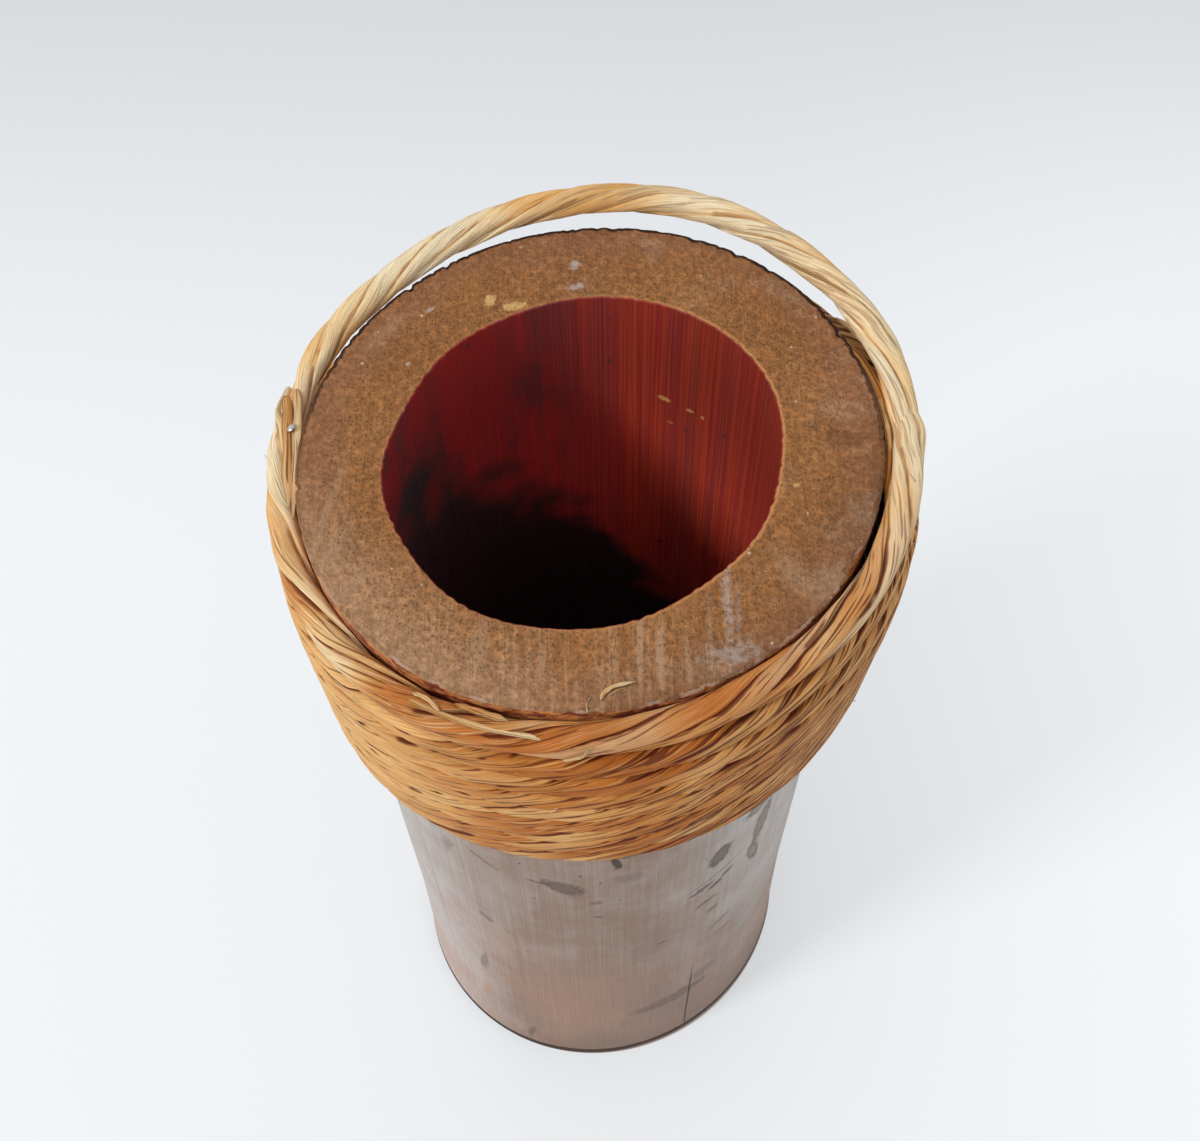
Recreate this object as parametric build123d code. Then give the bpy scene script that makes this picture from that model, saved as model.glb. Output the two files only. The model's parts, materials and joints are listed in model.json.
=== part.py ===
from build123d import *
import os
from math import cos, degrees, floor, hypot, pi, radians, sin, sqrt, tan

os.makedirs("parts", exist_ok=True)

# Bamboo vase: one internode of thick-walled culm, cut square at the rim and
# just under a node at the base, bound below the rim with twisted rush cord.
# Origin at the centre of the base, +Z up, +X to the right and -Y to the front.
# The handle is folded back towards +Y. Lengths in millimetres, angles in degrees.

# Culm: an oval section, drawn in a little between its two ends
culm_height = 270.0
rim_long_radius = 61.4
rim_short_radius = 58.6
culm_turn = 45.0
waist_depth = 1.5
waist_shares = ((0.0, -0.3), (0.06, 0.35), (0.25, 1.0), (0.60, 1.0), (0.85, 0.5), (1.0, 0.0))
base_bevel = 0.8
rim_bevel = 0.3

# Bore and the natural node that closes it
bore_long_radius = 42.3
bore_short_radius = 38.8
bore_turn = 47.0
bore_offset_x = -1.25
bore_offset_y = -1.5
floor_thickness = 13.0
floor_fillet = 11.0
cut_overrun = 5.0

# Cord, and how closely it lies on the culm and on itself
cord_diameter = 6.4
cord_radius = cord_diameter / 2
seat_gap = 0.35
turn_gap = 0.5
turn_pitch = cord_diameter + turn_gap
root_gap = 0.65

# Band: the top half turn at the front, and the winding under it
rim_turn_drop = 4.5
band_rise = 3.5
band_high_angle = -20.0
root_standoff = 2.6
left_root_angle = 166.6
right_root_angle = 8.0
start_turns = 0.39
end_turns = 8.25
standoff_shares = (
    (160.0, 1.0), (170.0, 0.94), (185.0, 0.50), (210.0, 0.12), (240.0, 0.20), (270.0, 0.04),
    (300.0, 0.06), (330.0, 0.54), (350.0, 0.66), (364.0, 0.94), (372.0, 1.0),
)
winding_bulge = 2.0
bulge_lean = 0.6
bulge_shares = ((0.0, 0.6), (1.0, 0.9), (2.0, 0.85), (4.0, 0.4), (6.0, 0.25), (8.0, 0.05))
biarcs_per_turn = 4

# Handle: the slack half turn at the back. For each point between the two roots:
# its angle, how far out it lies as a share of where the cord would touch the
# culm, and its height over the rim as a share of the cord's diameter.
handle_route_shares = (
    (152.7, 1.057, -0.60),
    (131.7, 1.031, 0.06),
    (107.9, 1.040, 0.47),
    (81.6, 1.067, 0.55),
    (60.1, 1.077, 0.39),
    (37.4, 1.067, 0.16),
    (20.0, 1.055, -0.06),
)
fillet_share = 0.45

# Brads that pin the cord's two cut ends to the culm
brad_length = 16.0
brad_radius = 0.6
brad_head_radius = 1.1
brad_head_thickness = 0.5
brad_point_length = 1.6
brad_clearance = 0.05
front_brad_setback = 6.8
front_brad_inset = 1.3
front_brad_lean = 35.0
back_brad_setback = 8.0

band_radius = (rim_long_radius + rim_short_radius) / 2 + seat_gap + cord_radius


def table_value(table, place):
    """Value of a table of pairs at a place, on straight lines between its rows."""
    if place <= table[0][0]:
        return table[0][1]
    for (start, low), (end, high) in zip(table, table[1:]):
        if place <= end:
            return low + (high - low) * (place - start) / (end - start)
    return table[-1][1]


def polar_radius(long_radius, short_radius, angle):
    """Radius of an oval, at an angle from its long axis."""
    return long_radius * short_radius / hypot(
        short_radius * cos(radians(angle)), long_radius * sin(radians(angle))
    )


def culm_radius(angle, height):
    """Radius of the culm's skin at an angle from +X and a height."""
    inset = waist_depth * table_value(waist_shares, height / culm_height)
    return polar_radius(rim_long_radius - inset, rim_short_radius - inset, angle - culm_turn)


def band_point(angle, height, standoff):
    """Centre of the cord where it lies on the culm."""
    reach = culm_radius(angle, height) + seat_gap + cord_radius + standoff
    return Vector(reach * cos(radians(angle)), reach * sin(radians(angle)), height)


def tilt_at(angle):
    """How far the band's tilt lifts it at an angle."""
    return band_rise * cos(radians(angle - band_high_angle))


def rim_turn_point(angle):
    """Centre of the top half turn, which stands off the culm towards the roots."""
    height = culm_height - rim_turn_drop + tilt_at(angle)
    if angle < 90:
        angle += 360
    return band_point(angle, height, root_standoff * table_value(standoff_shares, angle))


def turns_down(turn):
    """Turns that the winding has come down: level at the front, a step at the back."""
    whole = floor(turn - 1 / 2)
    past = turn - 1 / 2 - whole
    step = 0 if past < 1 / 2 else (1 - cos(2 * pi * (past - 1 / 2))) / 2
    return whole + step


def winding_point(turn):
    """Centre of the winding, at a number of turns from +X, bulging most where it is high."""
    angle = 360 * turn
    down = turns_down(turn)
    height = culm_height - rim_turn_drop - turn_pitch * (1 + down) + tilt_at(angle)
    lean = 1 + bulge_lean * cos(radians(angle - band_high_angle))
    return band_point(angle, height, winding_bulge * table_value(bulge_shares, down) * lean)


def tangent_at(point_at, place, step):
    """Unit tangent of a curve that a function gives."""
    return (point_at(place + step) - point_at(place - step)).normalized()


def biarc(start, start_tangent, end, end_tangent):
    """Two arcs that join two points, tangent to both directions and to each other."""
    chord = end - start
    both = start_tangent + end_tangent
    spread = 2 * (1 - start_tangent.dot(end_tangent))
    along = chord.dot(both)
    reach = (sqrt(along**2 + spread * chord.dot(chord)) - along) / spread
    near = start + start_tangent * reach
    far = end - end_tangent * reach
    middle = (near + far) / 2
    return [
        TangentArc(start, middle, tangent=start_tangent),
        TangentArc(middle, end, tangent=far - near),
    ]


def wound_path(point_at, first, last, count, step):
    """Biarcs along a curve, with a straight cord diameter at each end."""
    places = [first + (last - first) * number / count for number in range(count + 1)]
    points = [point_at(place) for place in places]
    tangents = [tangent_at(point_at, place, step) for place in places]
    edges = [Line(points[0] - tangents[0] * cord_diameter, points[0])]
    for number in range(count):
        edges += biarc(points[number], tangents[number], points[number + 1], tangents[number + 1])
    edges.append(Line(points[-1], points[-1] + tangents[-1] * cord_diameter))
    return Wire(edges)


def cord_along(path):
    """Round cord swept along a path."""
    section = Plane(origin=path @ 0, z_dir=path % 0) * Circle(cord_radius)
    return sweep(section, path=path)


def arc_turns(length):
    """Angle, in degrees, that a length of cord takes on the band."""
    return degrees(length / band_radius)


def culm():
    """Culm with its bore and node, its edges lightly broken."""
    sections = []
    for height_share, inset_share in waist_shares:
        inset = waist_depth * inset_share
        oval = Ellipse(rim_long_radius - inset, rim_short_radius - inset)
        sections.append(Pos(0, 0, culm_height * height_share) * Rot(0, 0, culm_turn) * oval)
    outside = loft(sections)
    outside = chamfer(outside.edges().group_by(Axis.Z)[0], base_bevel)
    bore_oval = Rot(0, 0, bore_turn) * Ellipse(bore_long_radius, bore_short_radius)
    bore_place = Pos(bore_offset_x, bore_offset_y, floor_thickness)
    bore = extrude(bore_place * bore_oval, culm_height - floor_thickness + cut_overrun)
    bore = fillet(bore.edges().group_by(Axis.Z)[0], floor_fillet)
    body = outside - bore
    return chamfer(body.edges().group_by(Axis.Z)[-1], rim_bevel)


def brad(place):
    """Small round-headed brad, its head's underside on the place's plane."""
    profile = Polyline(
        (0, brad_head_thickness),
        (brad_head_radius, brad_head_thickness),
        (brad_head_radius, 0),
        (brad_radius, 0),
        (brad_radius, brad_point_length - brad_length),
        (0, -brad_length),
        close=True,
    )
    return place * revolve(Plane.XZ * make_face(profile), Axis.Z)


def brad_hole(place):
    """Hole for a brad's shank, and the seat of its head."""
    shank = Cylinder(
        brad_radius + brad_clearance,
        brad_length + brad_clearance,
        align=(Align.CENTER, Align.CENTER, Align.MAX),
    )
    seat = Pos(0, 0, -brad_clearance) * Cylinder(
        brad_head_radius + brad_clearance,
        cord_diameter,
        align=(Align.CENTER, Align.CENTER, Align.MIN),
    )
    return place * (shank + seat)


def front_brad_place():
    """Where the brad goes through the cord's cut end at the left, leaning inwards."""
    angle = left_root_angle + arc_turns(front_brad_setback)
    outward = Vector(cos(radians(angle)), sin(radians(angle)), 0)
    lift = sqrt(cord_radius**2 - front_brad_inset**2)
    origin = rim_turn_point(angle) - outward * front_brad_inset + Vector(0, 0, lift)
    back = outward * sin(radians(front_brad_lean)) + Vector(0, 0, cos(radians(front_brad_lean)))
    return Plane(origin=origin, z_dir=back)


def back_brad_place():
    """Where the brad goes through the lower end of the winding, at the back."""
    turn = end_turns - arc_turns(back_brad_setback) / 360
    outward = Vector(cos(radians(360 * turn)), sin(radians(360 * turn)), 0)
    return Plane(origin=winding_point(turn) + outward * cord_radius, z_dir=outward)


def rim_turn():
    """Top half turn, from its cut end at the left round the front to the right root."""
    margin = arc_turns(cord_radius + root_gap + cord_diameter)
    first = left_root_angle + margin
    last = 360 + right_root_angle - margin
    return cord_along(wound_path(rim_turn_point, first, last, biarcs_per_turn // 2, 1))


def winding():
    """Winding under the top half turn, one unbroken tube."""
    margin = arc_turns(cord_diameter) / 360
    first = start_turns + margin
    last = end_turns - margin
    count = round((last - first) * biarcs_per_turn)
    return cord_along(wound_path(winding_point, first, last, count, 1 / 360))


def handle_route():
    """Route of the handle, from the left root round the back to the right root."""
    points = [rim_turn_point(left_root_angle)]
    for angle, reach_share, rise_share in handle_route_shares:
        touching = band_point(angle, culm_height + cord_diameter * rise_share, 0)
        points.append(Vector(touching.X * reach_share, touching.Y * reach_share, touching.Z))
    points.append(rim_turn_point(right_root_angle))
    return points


def route_radii(points):
    """Largest arc radius that the two runs at each corner allow."""
    radii = []
    for before, corner, after in zip(points, points[1:], points[2:]):
        run_in = corner - before
        run_out = after - corner
        half_turn = radians(run_in.get_angle(run_out)) / 2
        radii.append(fillet_share * min(run_in.length, run_out.length) / tan(half_turn))
    return radii


def handle():
    """Loop handle, round at both roots, where it turns."""
    points = handle_route()
    radii = route_radii(points)
    path = FilletPolyline(*points, radius=radii)
    body = cord_along(path)
    for root in (points[0], points[-1]):
        body += Pos(root) * Sphere(cord_radius)
    print("handle radii", [round(radius, 1) for radius in radii])
    print("handle length", round(path.length, 1), "volume share", round(
        body.volume / (pi * cord_radius**2 * (path.length + 4 / 3 * cord_radius)), 4))
    return body


def winding_self_gap(samples_per_turn):
    """Least gap between one turn of the winding and the next, on points."""
    count = round((end_turns - start_turns) * samples_per_turn)
    points = [winding_point(start_turns + number / samples_per_turn) for number in range(count + 1)]
    least = winding_bulge + band_radius
    for number, point in enumerate(points):
        for other in points[number + samples_per_turn // 2:number + 2 * samples_per_turn]:
            least = min(least, (point - other).length - cord_diameter)
    return least


front_hole = brad_hole(front_brad_place())
back_hole = brad_hole(back_brad_place())
nodes = {
    "bamboo_culm": culm() - front_hole - back_hole,
    "cord_winding": winding() - back_hole,
    "rim_turn": rim_turn() - front_hole,
    "handle_cord": handle(),
    "brads": Compound([brad(front_brad_place()), brad(back_brad_place())]),
}
for name, shape in nodes.items():
    export_step(shape, f"parts/{name}.step")

print("least gap of the winding to itself", round(winding_self_gap(72), 2))
roots = rim_turn_point(left_root_angle), rim_turn_point(right_root_angle)
print("hinge", roots, (roots[1] - roots[0]).normalized())
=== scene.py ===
import json
import logging
import math
from dataclasses import asdict, dataclass, field
from enum import Enum

import bmesh
import bpy
import numpy as np
from bpy.types import Material, Mesh, Node, NodeTree, Object
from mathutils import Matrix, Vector


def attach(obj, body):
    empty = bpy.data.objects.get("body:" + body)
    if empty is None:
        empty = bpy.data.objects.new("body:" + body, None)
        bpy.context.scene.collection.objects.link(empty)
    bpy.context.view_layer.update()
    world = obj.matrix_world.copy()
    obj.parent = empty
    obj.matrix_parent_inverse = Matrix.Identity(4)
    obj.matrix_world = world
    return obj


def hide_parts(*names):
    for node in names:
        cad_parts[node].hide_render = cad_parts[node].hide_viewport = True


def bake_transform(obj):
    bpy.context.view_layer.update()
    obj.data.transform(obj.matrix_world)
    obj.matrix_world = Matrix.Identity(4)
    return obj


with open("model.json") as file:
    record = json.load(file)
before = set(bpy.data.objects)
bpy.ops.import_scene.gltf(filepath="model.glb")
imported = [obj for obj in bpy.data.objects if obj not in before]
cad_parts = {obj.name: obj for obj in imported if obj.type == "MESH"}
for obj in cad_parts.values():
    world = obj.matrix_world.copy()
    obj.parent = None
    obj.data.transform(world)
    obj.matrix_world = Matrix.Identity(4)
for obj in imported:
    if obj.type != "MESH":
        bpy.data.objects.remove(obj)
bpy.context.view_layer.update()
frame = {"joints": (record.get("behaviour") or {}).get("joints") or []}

log = logging.getLogger("bamboo_vase")

MM = 0.001
FULL_TURN = 2 * math.pi
Colour = tuple[float, float, float]
Socket = bpy.types.NodeSocket


class Value:
    """What a node puts out, with plain arithmetic on it."""

    def __init__(self, graph: "Graph", socket: Socket) -> None:
        """Keep the output and the graph that it is in."""
        self.graph = graph
        self.socket = socket

    def __add__(self, other: "Feed") -> "Value":
        """Return the sum of two numbers."""
        return self.graph.maths("ADD", self, other)

    def __radd__(self, other: float) -> "Value":
        """Return a plain number plus this one."""
        return self.graph.maths("ADD", other, self)

    def __sub__(self, other: "Feed") -> "Value":
        """Return this number less another."""
        return self.graph.maths("SUBTRACT", self, other)

    def __rsub__(self, other: float) -> "Value":
        """Return a plain number less this one."""
        return self.graph.maths("SUBTRACT", other, self)

    def __mul__(self, other: "Feed") -> "Value":
        """Return the product of two numbers."""
        return self.graph.maths("MULTIPLY", self, other)

    def __truediv__(self, other: "Feed") -> "Value":
        """Return this number divided by another."""
        return self.graph.maths("DIVIDE", self, other)

    def __rtruediv__(self, other: float) -> "Value":
        """Return a plain number divided by this one."""
        return self.graph.maths("DIVIDE", other, self)


Feed = Value | Socket | float | int | tuple | Vector


class Graph:
    """Short calls that add nodes to one tree and join them."""

    def __init__(self, tree: NodeTree) -> None:
        """Keep the tree that every call adds to."""
        self.tree = tree

    def feed(self, socket: Socket, value: Feed) -> None:
        """Join a socket to another, or set its own value.

        Args:
            socket: Input to fill.
            value: A node's output, or a plain number, colour or vector.
        """
        if isinstance(value, Value):
            value = value.socket
        if isinstance(value, bpy.types.NodeSocket):
            self.tree.links.new(value, socket)
            return
        if socket.type == "RGBA" and len(value) == 3:
            value = (*value, 1.0)
        socket.default_value = value

    def add(self, kind: str, inputs: dict[str | int, Feed] | tuple[Feed, ...] = (),
            **settings: object) -> Node:
        """Add a node.

        Args:
            kind: The node's type name.
            inputs: Values for its inputs, in order or by name or number.
            settings: Values for its properties.

        Returns:
            The new node.
        """
        node = self.tree.nodes.new(kind)
        for name, value in settings.items():
            setattr(node, name, value)
        for name, value in inputs.items() if isinstance(inputs, dict) else enumerate(inputs):
            self.feed(node.inputs[name], value)
        return node

    def outputs(self, node: Node) -> dict[str, Value]:
        """Return a node's outputs by name."""
        return {socket.name: Value(self, socket) for socket in node.outputs}

    def maths(self, operation: str, *values: Feed) -> Value:
        """Return the result of a maths node."""
        return Value(self, self.add("ShaderNodeMath", values, operation=operation).outputs[0])

    def vector(self, operation: str, *values: Feed) -> Value:
        """Return the result of a vector maths node, a number where the operation gives one."""
        name = "Value" if operation in ("DOT_PRODUCT", "LENGTH", "DISTANCE") else "Vector"
        return self.outputs(self.add("ShaderNodeVectorMath", values, operation=operation))[name]

    def larger(self, first: Feed, second: Feed) -> Value:
        """Return the larger of two numbers."""
        return self.maths("MAXIMUM", first, second)

    def moved(self, value: Feed, step: Feed) -> Value:
        """Return a vector plus another."""
        return self.vector("ADD", value, step)

    def stretched(self, value: Feed, factors: Feed) -> Value:
        """Return a vector times another, part by part."""
        return self.vector("MULTIPLY", value, factors)

    def scaled(self, value: Feed, scale: Feed) -> Value:
        """Return a vector times a number."""
        node = self.add("ShaderNodeVectorMath", {"Vector": value, "Scale": scale}, operation="SCALE")
        return Value(self, node.outputs[0])

    def position(self) -> Value:
        """Return the place on the piece, in metres."""
        return Value(self, self.add("ShaderNodeTexCoord").outputs["Object"])

    def own(self, name: str) -> Value:
        """Return a number that the piece's mesh carries."""
        return Value(self, self.add("ShaderNodeAttribute", attribute_name=name).outputs["Fac"])

    def xyz(self, x: Feed, y: Feed, z: Feed) -> Value:
        """Return a vector from three numbers."""
        return Value(self, self.add("ShaderNodeCombineXYZ", (x, y, z)).outputs[0])

    def parts(self, value: Feed) -> list[Value]:
        """Return a vector's three numbers."""
        return list(self.outputs(self.add("ShaderNodeSeparateXYZ", (value,))).values())

    def ease(self, value: Feed, low: Feed, high: Feed, start: Feed = 0.0, end: Feed = 1.0) -> Value:
        """Return a number mapped smoothly from the range low to high to the range start to end."""
        inputs = (value, low, high, start, end)
        return Value(self, self.add("ShaderNodeMapRange", inputs, interpolation_type="SMOOTHSTEP").outputs[0])

    def noise(self, where: Feed, scale: Feed, detail: float = 2.0, roughness: float = 0.5) -> Value:
        """Return soft noise about one half, over a vector."""
        inputs = {"Vector": where, "Scale": scale, "Detail": detail, "Roughness": roughness}
        return Value(self, self.add("ShaderNodeTexNoise", inputs).outputs[0])

    def mix(self, share: Feed, under: Feed, over: Feed, how: str = "MIX") -> Value:
        """Return a colour with another laid over it by a share."""
        node = self.add("ShaderNodeMix", {0: share, 6: under, 7: over}, data_type="RGBA", blend_type=how)
        return Value(self, node.outputs[2])

    def shaded(self, colour: Feed, shade: Value) -> Value:
        """Return a colour times a number."""
        return self.mix(1.0, colour, self.xyz(shade, shade, shade), "MULTIPLY")

    def chance(self, low: tuple, high: tuple, seed: Feed) -> Socket:
        """Return a random vector between two corners."""
        inputs = {"Min": low, "Max": high, "Seed": seed}
        return self.add("FunctionNodeRandomValue", inputs, data_type="FLOAT_VECTOR").outputs["Value"]

    def finished(self, shape: Feed, finish: Feed, result: Socket) -> NodeTree:
        """End a geometry group.

        Args:
            shape: What the group has made, instances or mesh.
            finish: Its material.
            result: The group's own output.

        Returns:
            The group.
        """
        real = self.add("GeometryNodeRealizeInstances", {"Geometry": shape}).outputs[0]
        dressed = self.add("GeometryNodeSetMaterial", {"Geometry": real, "Material": finish})
        self.feed(result, dressed.outputs[0])
        return self.tree

    def group(self, tree: NodeTree, inputs: dict[str, Feed]) -> dict[str, Value]:
        """Place a node group and return its outputs by name."""
        return self.outputs(self.add("ShaderNodeGroup", inputs, node_tree=tree))


def new_group(name: str, kind: str, inputs: dict[str, Feed | str], outputs: dict[str, str]) -> tuple:
    """Make a node group with named sockets.

    Args:
        name: The group's name.
        kind: Its tree type.
        inputs: Name to default, or to a socket type that has none.
        outputs: Name to socket type.

    Returns:
        A graph on the tree, its inputs by name, and its output node.
    """
    tree = bpy.data.node_groups.new(name, kind)
    for label, default in inputs.items():
        socket_type = {float: "Float", int: "Int", tuple: "Vector"}.get(type(default), default)
        item = tree.interface.new_socket(label, in_out="INPUT", socket_type="NodeSocket" + socket_type)
        if default != socket_type:
            item.default_value = default
    for label, socket_type in outputs.items():
        tree.interface.new_socket(label, in_out="OUTPUT", socket_type="NodeSocket" + socket_type)
    graph = Graph(tree)
    return graph, graph.outputs(graph.add("NodeGroupInput")), graph.add("NodeGroupOutput")


def streaks_group() -> NodeTree:
    """Long streaks in one direction, as grain, saw marks and fibres have.

    Returns:
        A shader group from a position to a value about one half.
    """
    graph, given, result = new_group(
        "streaks", "ShaderNodeTree",
        {"Position": "Vector", "Stretch": (1.0, 1.0, 1.0), "Low": 0.35, "High": 0.65},
        {"Value": "Float"})
    stretched = graph.stretched(given["Position"], given["Stretch"])
    raw = graph.noise(stretched, 1.0, 3.0, 0.6)
    graph.feed(result.inputs["Value"], graph.ease(raw, given["Low"], given["High"]))
    return graph.tree


def mark_group() -> NodeTree:
    """One ragged oval mark at a place on a surface.

    Returns:
        A shader group with a mask of the mark and one of its darker outline.
    """
    graph, given, result = new_group(
        "mark", "ShaderNodeTree",
        {"Position": "Vector", "Centre": "Vector",
         "Along": (1.0, 0.0, 0.0), "Across": (0.0, 1.0, 0.0),
         "Half length": 0.002, "Half width": 0.001, "Ragged": 0.5, "Softness": 0.3},
        {"Mask": "Float", "Outline": "Float"})
    away = graph.vector("SUBTRACT", given["Position"], given["Centre"])
    outward = graph.vector("CROSS_PRODUCT", given["Along"], given["Across"])
    along = graph.vector("DOT_PRODUCT", away, given["Along"])
    across = graph.vector("DOT_PRODUCT", away, given["Across"])
    depth = graph.vector("DOT_PRODUCT", away, outward)
    oval = graph.xyz(along / given["Half length"], across / given["Half width"], depth / 0.02)
    reach = graph.vector("LENGTH", oval)
    ripple = graph.noise(given["Position"], 700.0, 3.0, 0.6) - 0.5
    reach = ripple * 3.0 * given["Ragged"] + reach
    mask = graph.ease(reach, 1.0 + given["Softness"], 1.0 - given["Softness"])
    graph.feed(result.inputs["Mask"], mask)
    inner = graph.ease(reach, 0.5, 1.0)
    graph.feed(result.inputs["Outline"], mask * inner)
    return graph.tree


def flecks_group() -> NodeTree:
    """Small round flecks scattered over a surface.

    Returns:
        A shader group from a position to a mask of flecks.
    """
    graph, given, result = new_group(
        "flecks", "ShaderNodeTree",
        {"Position": "Vector", "Per metre": 900.0, "Size": 0.25, "Share": 0.5},
        {"Mask": "Float"})
    cells = graph.add("ShaderNodeTexVoronoi", {"Vector": given["Position"], "Scale": given["Per metre"]})
    chosen = graph.parts(cells.outputs["Color"])[0]
    kept = graph.maths("LESS_THAN", chosen, given["Share"])
    shape = graph.ease(cells.outputs["Distance"], given["Size"], given["Size"] * 0.6)
    graph.feed(result.inputs["Mask"], shape * kept)
    return graph.tree


STREAKS = streaks_group()
MARK = mark_group()
FLECKS = flecks_group()


def streaks(graph: Graph, position: Feed, stretch: tuple, low: float, high: float) -> Value:
    """Return streaks, from waves to the metre in x, y and z and the noise that becomes 0 and 1."""
    inputs = {"Position": position, "Stretch": stretch, "Low": low, "High": high}
    return graph.group(STREAKS, inputs)["Value"]


def flecks(graph: Graph, position: Feed, per_metre: float, size: float, share: float) -> Value:
    """Return a mask of flecks, from cells to the metre, size in cells and share of cells that have one."""
    inputs = {"Position": position, "Per metre": per_metre, "Size": size, "Share": share}
    return graph.group(FLECKS, inputs)["Mask"]


class Surface(Enum):
    """The culm's surfaces that marks lie on."""

    SKIN = "skin"
    RIM = "rim"
    BORE = "bore"


@dataclass(frozen=True)
class Mark:
    """A stain, scratch or speck at a known place.

    On the skin and in the bore, place is an angle in degrees and a height in
    millimetres. On the rim it is x and y in millimetres.
    """

    surface: Surface
    place: tuple[float, float]
    length: float
    width: float
    turn: float
    colour: Colour
    strength: float = 1.0
    ragged: float = 0.5
    outline: float = 0.0
    softness: float = 0.3

    def frame(self, radius: float, top: float) -> tuple[Vector, Vector, Vector]:
        """Return the mark's centre and its two directions.

        Args:
            radius: Radius of the round surface, in metres.
            top: Height of the rim, in metres.

        Returns:
            Centre, direction along the mark, and direction across it.
        """
        turn = math.radians(self.turn)
        if self.surface is Surface.RIM:
            side, up = Vector((1, 0, 0)), Vector((0, 1, 0))
            centre = Vector((self.place[0] * MM, self.place[1] * MM, top))
        else:
            angle = math.radians(self.place[0])
            side, up = Vector((-math.sin(angle), math.cos(angle), 0)), Vector((0, 0, 1))
            centre = Vector((radius * math.cos(angle), radius * math.sin(angle), self.place[1] * MM))
        return (centre, side * math.cos(turn) + up * math.sin(turn),
                up * math.cos(turn) - side * math.sin(turn))

    def paint(self, graph: Graph, colour: Feed, position: Value, radius: float, top: float) -> Value:
        """Lay the mark over a colour.

        Args:
            graph: Graph of the material.
            colour: The colour below.
            position: Where on the piece.
            radius: Radius of the round surface, in metres.
            top: Height of the rim, in metres.

        Returns:
            The marked colour.
        """
        centre, along, across = self.frame(radius, top)
        mark = graph.group(MARK, {
            "Position": position, "Centre": centre, "Along": along, "Across": across,
            "Half length": self.length * MM / 2, "Half width": self.width * MM / 2,
            "Ragged": self.ragged, "Softness": self.softness})
        share = mark["Mask"] * self.strength
        if self.outline:
            share = mark["Outline"] * self.outline + share
        return graph.mix(share, colour, self.colour)


@dataclass(frozen=True)
class Finish:
    """What every finish has: a name and its plain gloss."""

    name: str
    roughness: float

    def begin(self) -> tuple[Material, Graph, Node]:
        """Make the material with its Principled shader.

        Returns:
            The material, a graph on its tree, and its shader node.
        """
        material = bpy.data.materials.new(self.name)
        material.use_nodes = True
        graph = Graph(material.node_tree)
        shader = material.node_tree.nodes["Principled BSDF"]
        shader.inputs["Roughness"].default_value = self.roughness
        return material, graph, shader

    @staticmethod
    def bump(graph: Graph, shader: Node, height: Feed, depth: float) -> None:
        """Give the shader a relief, in metres."""
        node = graph.add("ShaderNodeBump", {"Height": height, "Distance": depth})
        graph.feed(shader.inputs["Normal"], node.outputs[0])


@dataclass(frozen=True)
class MarkedFinish(Finish):
    """A finish of one of the culm's surfaces, with marks at known places."""

    radius: float
    top: float
    marks: tuple[Mark, ...]

    def marked(self, graph: Graph, colour: Feed, position: Value) -> Feed:
        """Lay all the marks over a colour.

        Args:
            graph: Graph of the material.
            colour: The colour below.
            position: Where on the piece.

        Returns:
            The marked colour.
        """
        for mark in self.marks:
            colour = mark.paint(graph, colour, position, self.radius, self.top)
        return colour


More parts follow.
